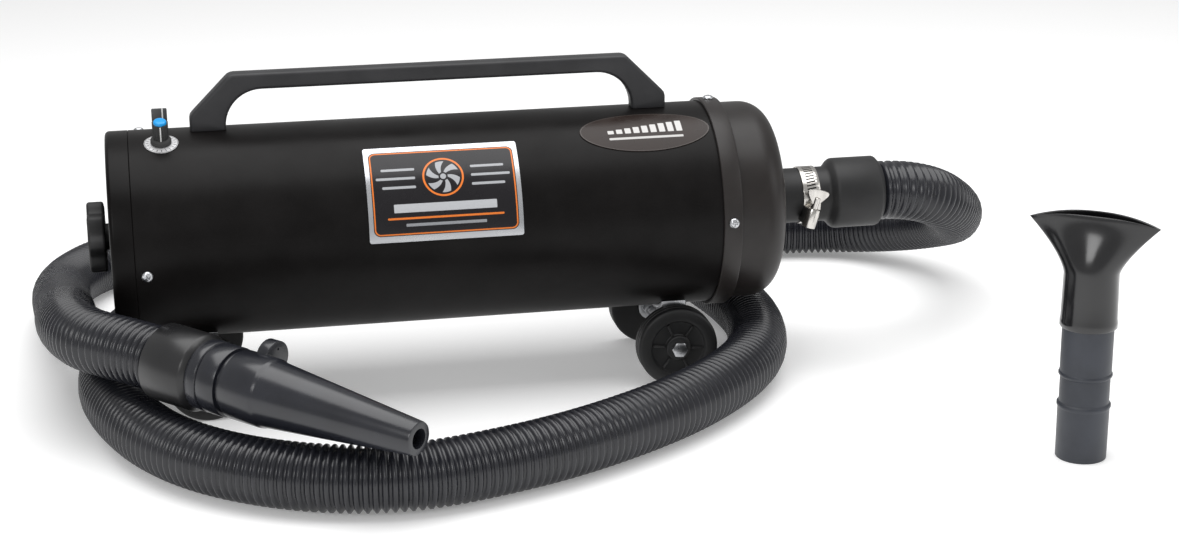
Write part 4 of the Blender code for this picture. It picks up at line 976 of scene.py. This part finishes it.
def build_accessory(context):
    sides = context.scene.dryer_sizes.sides
    profile = mm((18.5, 135), (20.1, 135), (20.5, 134.5), (20.8, 119.7), (21.85, 119.2), (21.85, 77.7), (22.5, 77),
                 (22.8, 76.2), (22.8, 74.9), (22.2, 74.1), (21.25, 73.3), (21.25, 50.7), (22.3, 49.8), (22.9, 49),
                 (22.9, 47), (22.3, 46), (22, 45.3), (21.7, 0.6), (21.2, 0), (18.5, 0))
    tube = turned("adapter_tube_skin", profile, sides, shift(TUBE_BASE), ring=True)
    done(tube, "tube", "adapter_tube", smoothing=40, body="adapter")

    around, levels = 72, [i / 14 for i in range(15)]
    rings = [("round", 0.0238, 0.118), ("round", 0.0243, 0.1186), ("round", 0.0243, 0.1235), ("round", 0.0238, 0.1255),
             ("round", 0.0235, 0.145)]
    rings += [("wall", level, 0.0) for level in levels] + [("wall", level, 0.0022) for level in levels[::-1]]
    rings += [("round", 0.0212, 0.136), ("round", 0.0212, 0.1200), ("round", 0.0216, 0.118)]
    obj = circle("flare_nozzle_skin", around, 0.0238)
    for _ in rings:
        pull(0, 0, 0.01)
    leave()
    turns = [math.atan2(v.co.y, v.co.x) for v in obj.data.vertices]
    for vertex, turn in zip(obj.data.vertices, turns):
        kind, first, second = rings[int(round(vertex.co.z / 0.01)) % len(rings)]
        if kind == "round":
            vertex.co = (first * math.cos(turn), first * math.sin(turn), second)
        else:
            vertex.co = flare_point(first, turn, 0.165, 0.2085, 0.0075, second)
    pick(obj)
    edit()
    clean(1e-6)
    leave()
    settle(obj, shift(TUBE_BASE) @ spin(-36.0))
    soften(obj, 0.0004, 2, 55)
    done(obj, "flare", "flare_nozzle", smoothing=45, body="flare")


# ---- pieces the frame keeps ----
def paint_frame(context):
    looks = finishes()
    by_name = {
        "control_board": "board", "fan_rotor_1": "fan", "fan_rotor_2": "fan", "motor_1": "motor", "motor_2": "motor",
        "motor_bulkhead_1": "motor", "motor_bulkhead_2": "motor", "filter_stud": "zinc", "intake_filter": "foam",
        "rotary_switch_body": "grey", "speed_control_body": "motor", "speed_shaft": "zinc", "switch_shaft": "zinc",
        "handle_screw_left": "zinc", "handle_screw_right": "zinc",
    }
    for node, finish in by_name.items():
        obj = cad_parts[node]
        for slot in obj.material_slots:
            slot.material = looks[finish]
        if not obj.material_slots:
            obj.data.materials.append(looks[finish])


# ---- stage ----
def build_camera(context):
    stage = context.scene.dryer_stage
    turn = (Matrix.Rotation(stage.azimuth, 4, "Z") @ Matrix.Rotation(math.pi / 2 - stage.elevation, 4, "X")
            @ Matrix.Rotation(stage.roll, 4, "Z"))
    deselect()
    bpy.ops.object.camera_add(location=(0, 0, 0))
    camera = named("main_camera")
    camera.matrix_world = shift(spot(-0.2455, -2.02075, 0.7399)) @ turn
    camera.data.lens = stage.lens
    camera.data.sensor_width = 36.0
    camera.data.clip_start, camera.data.clip_end = 0.05, 100.0
    context.scene.camera = camera


def softbox(name, size_x, size_y, power, location, target):
    deselect()
    bpy.ops.object.light_add(type="AREA", location=location)
    light = named(name)
    light.data.shape = "RECTANGLE"
    light.data.size, light.data.size_y = size_x, size_y
    light.data.energy = power
    aim = Vector(target) - Vector(location)
    light.rotation_euler = aim.to_track_quat("-Z", "Y").to_euler()
    return light


def build_stage(context):
    stage = context.scene.dryer_stage
    softbox("overhead_box", 2.6, 2.0, stage.key_power, (0.0, 0.10, 2.1), (0.0, 0.0, 0.0))
    softbox("front_box", 1.1, 0.8, stage.fill_power, (-1.5, -2.3, 1.5), (0.0, 0.0, 0.12))
    softbox("side_box", 1.0, 1.4, stage.fill_power * 0.5, (2.3, -0.9, 1.2), (0.1, 0.0, 0.12))
    world = bpy.data.worlds.new("studio")
    world.use_nodes = True
    world.node_tree.nodes["Background"].inputs["Color"].default_value = (1.0, 1.0, 1.0, 1.0)
    world.node_tree.nodes["Background"].inputs["Strength"].default_value = stage.world
    context.scene.world = world
    context.scene.view_settings.view_transform = "Standard"
    if stage.show_floor:
        deselect()
        bpy.ops.mesh.primitive_plane_add(size=30.0, location=(0, 0, -0.0001))
        floor = named("floor")
        graph = Graph("floor_paper")
        paper = graph.blend(graph.noise(400.0), (0.90, 0.90, 0.90), (0.93, 0.93, 0.93))
        white = (1.0, 1.0, 1.0, 1.0)
        floor.data.materials.append(graph.surface(0.0, 0.0, 0.0, paper, Roughness=0.75, Emission_Color=white,
                                                  Emission_Strength=0.22, Specular_IOR_Level=0.1))


# ---- operators ----
class DRYER_OT_camera(bpy.types.Operator):
    """Place the camera"""
    bl_idname = "dryer.camera"
    bl_label = "Camera"

    def execute(self, context):
        build_camera(context)
        return {"FINISHED"}


class DRYER_OT_hose(bpy.types.Operator):
    """Build the hose with the cuffs, coupler and cone nozzle on its end"""
    bl_idname = "dryer.hose"
    bl_label = "Hose and nozzle"

    def execute(self, context):
        hose, path, start, length = build_hose(context)
        cuff, coupler, cone = build_nozzle(context)
        return {"FINISHED"}


class DRYER_OT_drum(bpy.types.Operator):
    """Build the drum shell, intake cap, outlet dome and their screws"""
    bl_idname = "dryer.drum"
    bl_label = "Drum"

    def execute(self, context):
        build_drum(context)
        return {"FINISHED"}


class DRYER_OT_plates(bpy.types.Operator):
    """Build the label, the oval badge and the dial plate"""
    bl_idname = "dryer.plates"
    bl_label = "Plates"

    def execute(self, context):
        build_plates(context)
        return {"FINISHED"}


class DRYER_OT_handle(bpy.types.Operator):
    """Build the carry handle"""
    bl_idname = "dryer.handle"
    bl_label = "Handle"

    def execute(self, context):
        build_handle(context)
        return {"FINISHED"}


class DRYER_OT_running_gear(bpy.types.Operator):
    """Build the wheels, straps, axle bolts and nuts"""
    bl_idname = "dryer.running_gear"
    bl_label = "Wheels"

    def execute(self, context):
        build_running_gear(context)
        return {"FINISHED"}


class DRYER_OT_controls(bpy.types.Operator):
    """Build the speed knob, the switch knob, the cord gland and the filter knob"""
    bl_idname = "dryer.controls"
    bl_label = "Controls"

    def execute(self, context):
        build_controls(context)
        build_filter_knob(context)
        return {"FINISHED"}


class DRYER_OT_outlet(bpy.types.Operator):
    """Build the outlet spigot, the hose cuff and the clamp"""
    bl_idname = "dryer.outlet"
    bl_label = "Outlet"

    def execute(self, context):
        build_outlet(context)
        return {"FINISHED"}


class DRYER_OT_accessory(bpy.types.Operator):
    """Build the loose fishtail nozzle on its adapter tube"""
    bl_idname = "dryer.accessory"
    bl_label = "Loose nozzle"

    def execute(self, context):
        build_accessory(context)
        return {"FINISHED"}


class DRYER_OT_inner(bpy.types.Operator):
    """Finish the inner pieces that the CAD frame supplies"""
    bl_idname = "dryer.inner"
    bl_label = "Inner pieces"

    def execute(self, context):
        paint_frame(context)
        return {"FINISHED"}


class DRYER_OT_stage(bpy.types.Operator):
    """Lay the floor and set the lights"""
    bl_idname = "dryer.stage"
    bl_label = "Stage"

    def execute(self, context):
        build_stage(context)
        return {"FINISHED"}


STEPS = (DRYER_OT_camera, DRYER_OT_hose, DRYER_OT_drum, DRYER_OT_plates, DRYER_OT_handle, DRYER_OT_running_gear,
         DRYER_OT_controls, DRYER_OT_outlet, DRYER_OT_accessory, DRYER_OT_inner, DRYER_OT_stage)


class DRYER_PT_panel(bpy.types.Panel):
    """Lists the building steps"""
    bl_idname = "DRYER_PT_panel"
    bl_label = "Pet Dryer"
    bl_space_type = "VIEW_3D"
    bl_region_type = "UI"
    bl_category = "Dryer"

    def draw(self, context):
        for step in STEPS:
            self.layout.operator(step.bl_idname)


GROUPS = (DryerSizes, HoseSizes, DryerColours, StageSettings)
CLASSES = GROUPS + STEPS + (DRYER_PT_panel,)


def register():
    for cls in CLASSES:
        bpy.utils.register_class(cls)
    bpy.types.Scene.dryer_sizes = PointerProperty(type=DryerSizes)
    bpy.types.Scene.hose_sizes = PointerProperty(type=HoseSizes)
    bpy.types.Scene.dryer_colours = PointerProperty(type=DryerColours)
    bpy.types.Scene.dryer_stage = PointerProperty(type=StageSettings)


def unregister():
    for name in ("dryer_sizes", "hose_sizes", "dryer_colours", "dryer_stage"):
        delattr(bpy.types.Scene, name)
    for cls in reversed(CLASSES):
        bpy.utils.unregister_class(cls)


def main():
    register()
    for step in STEPS:
        group, name = step.bl_idname.split(".")
        getattr(getattr(bpy.ops, group), name)()
    deselect()
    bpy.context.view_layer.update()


if __name__ == "__main__":
    main()
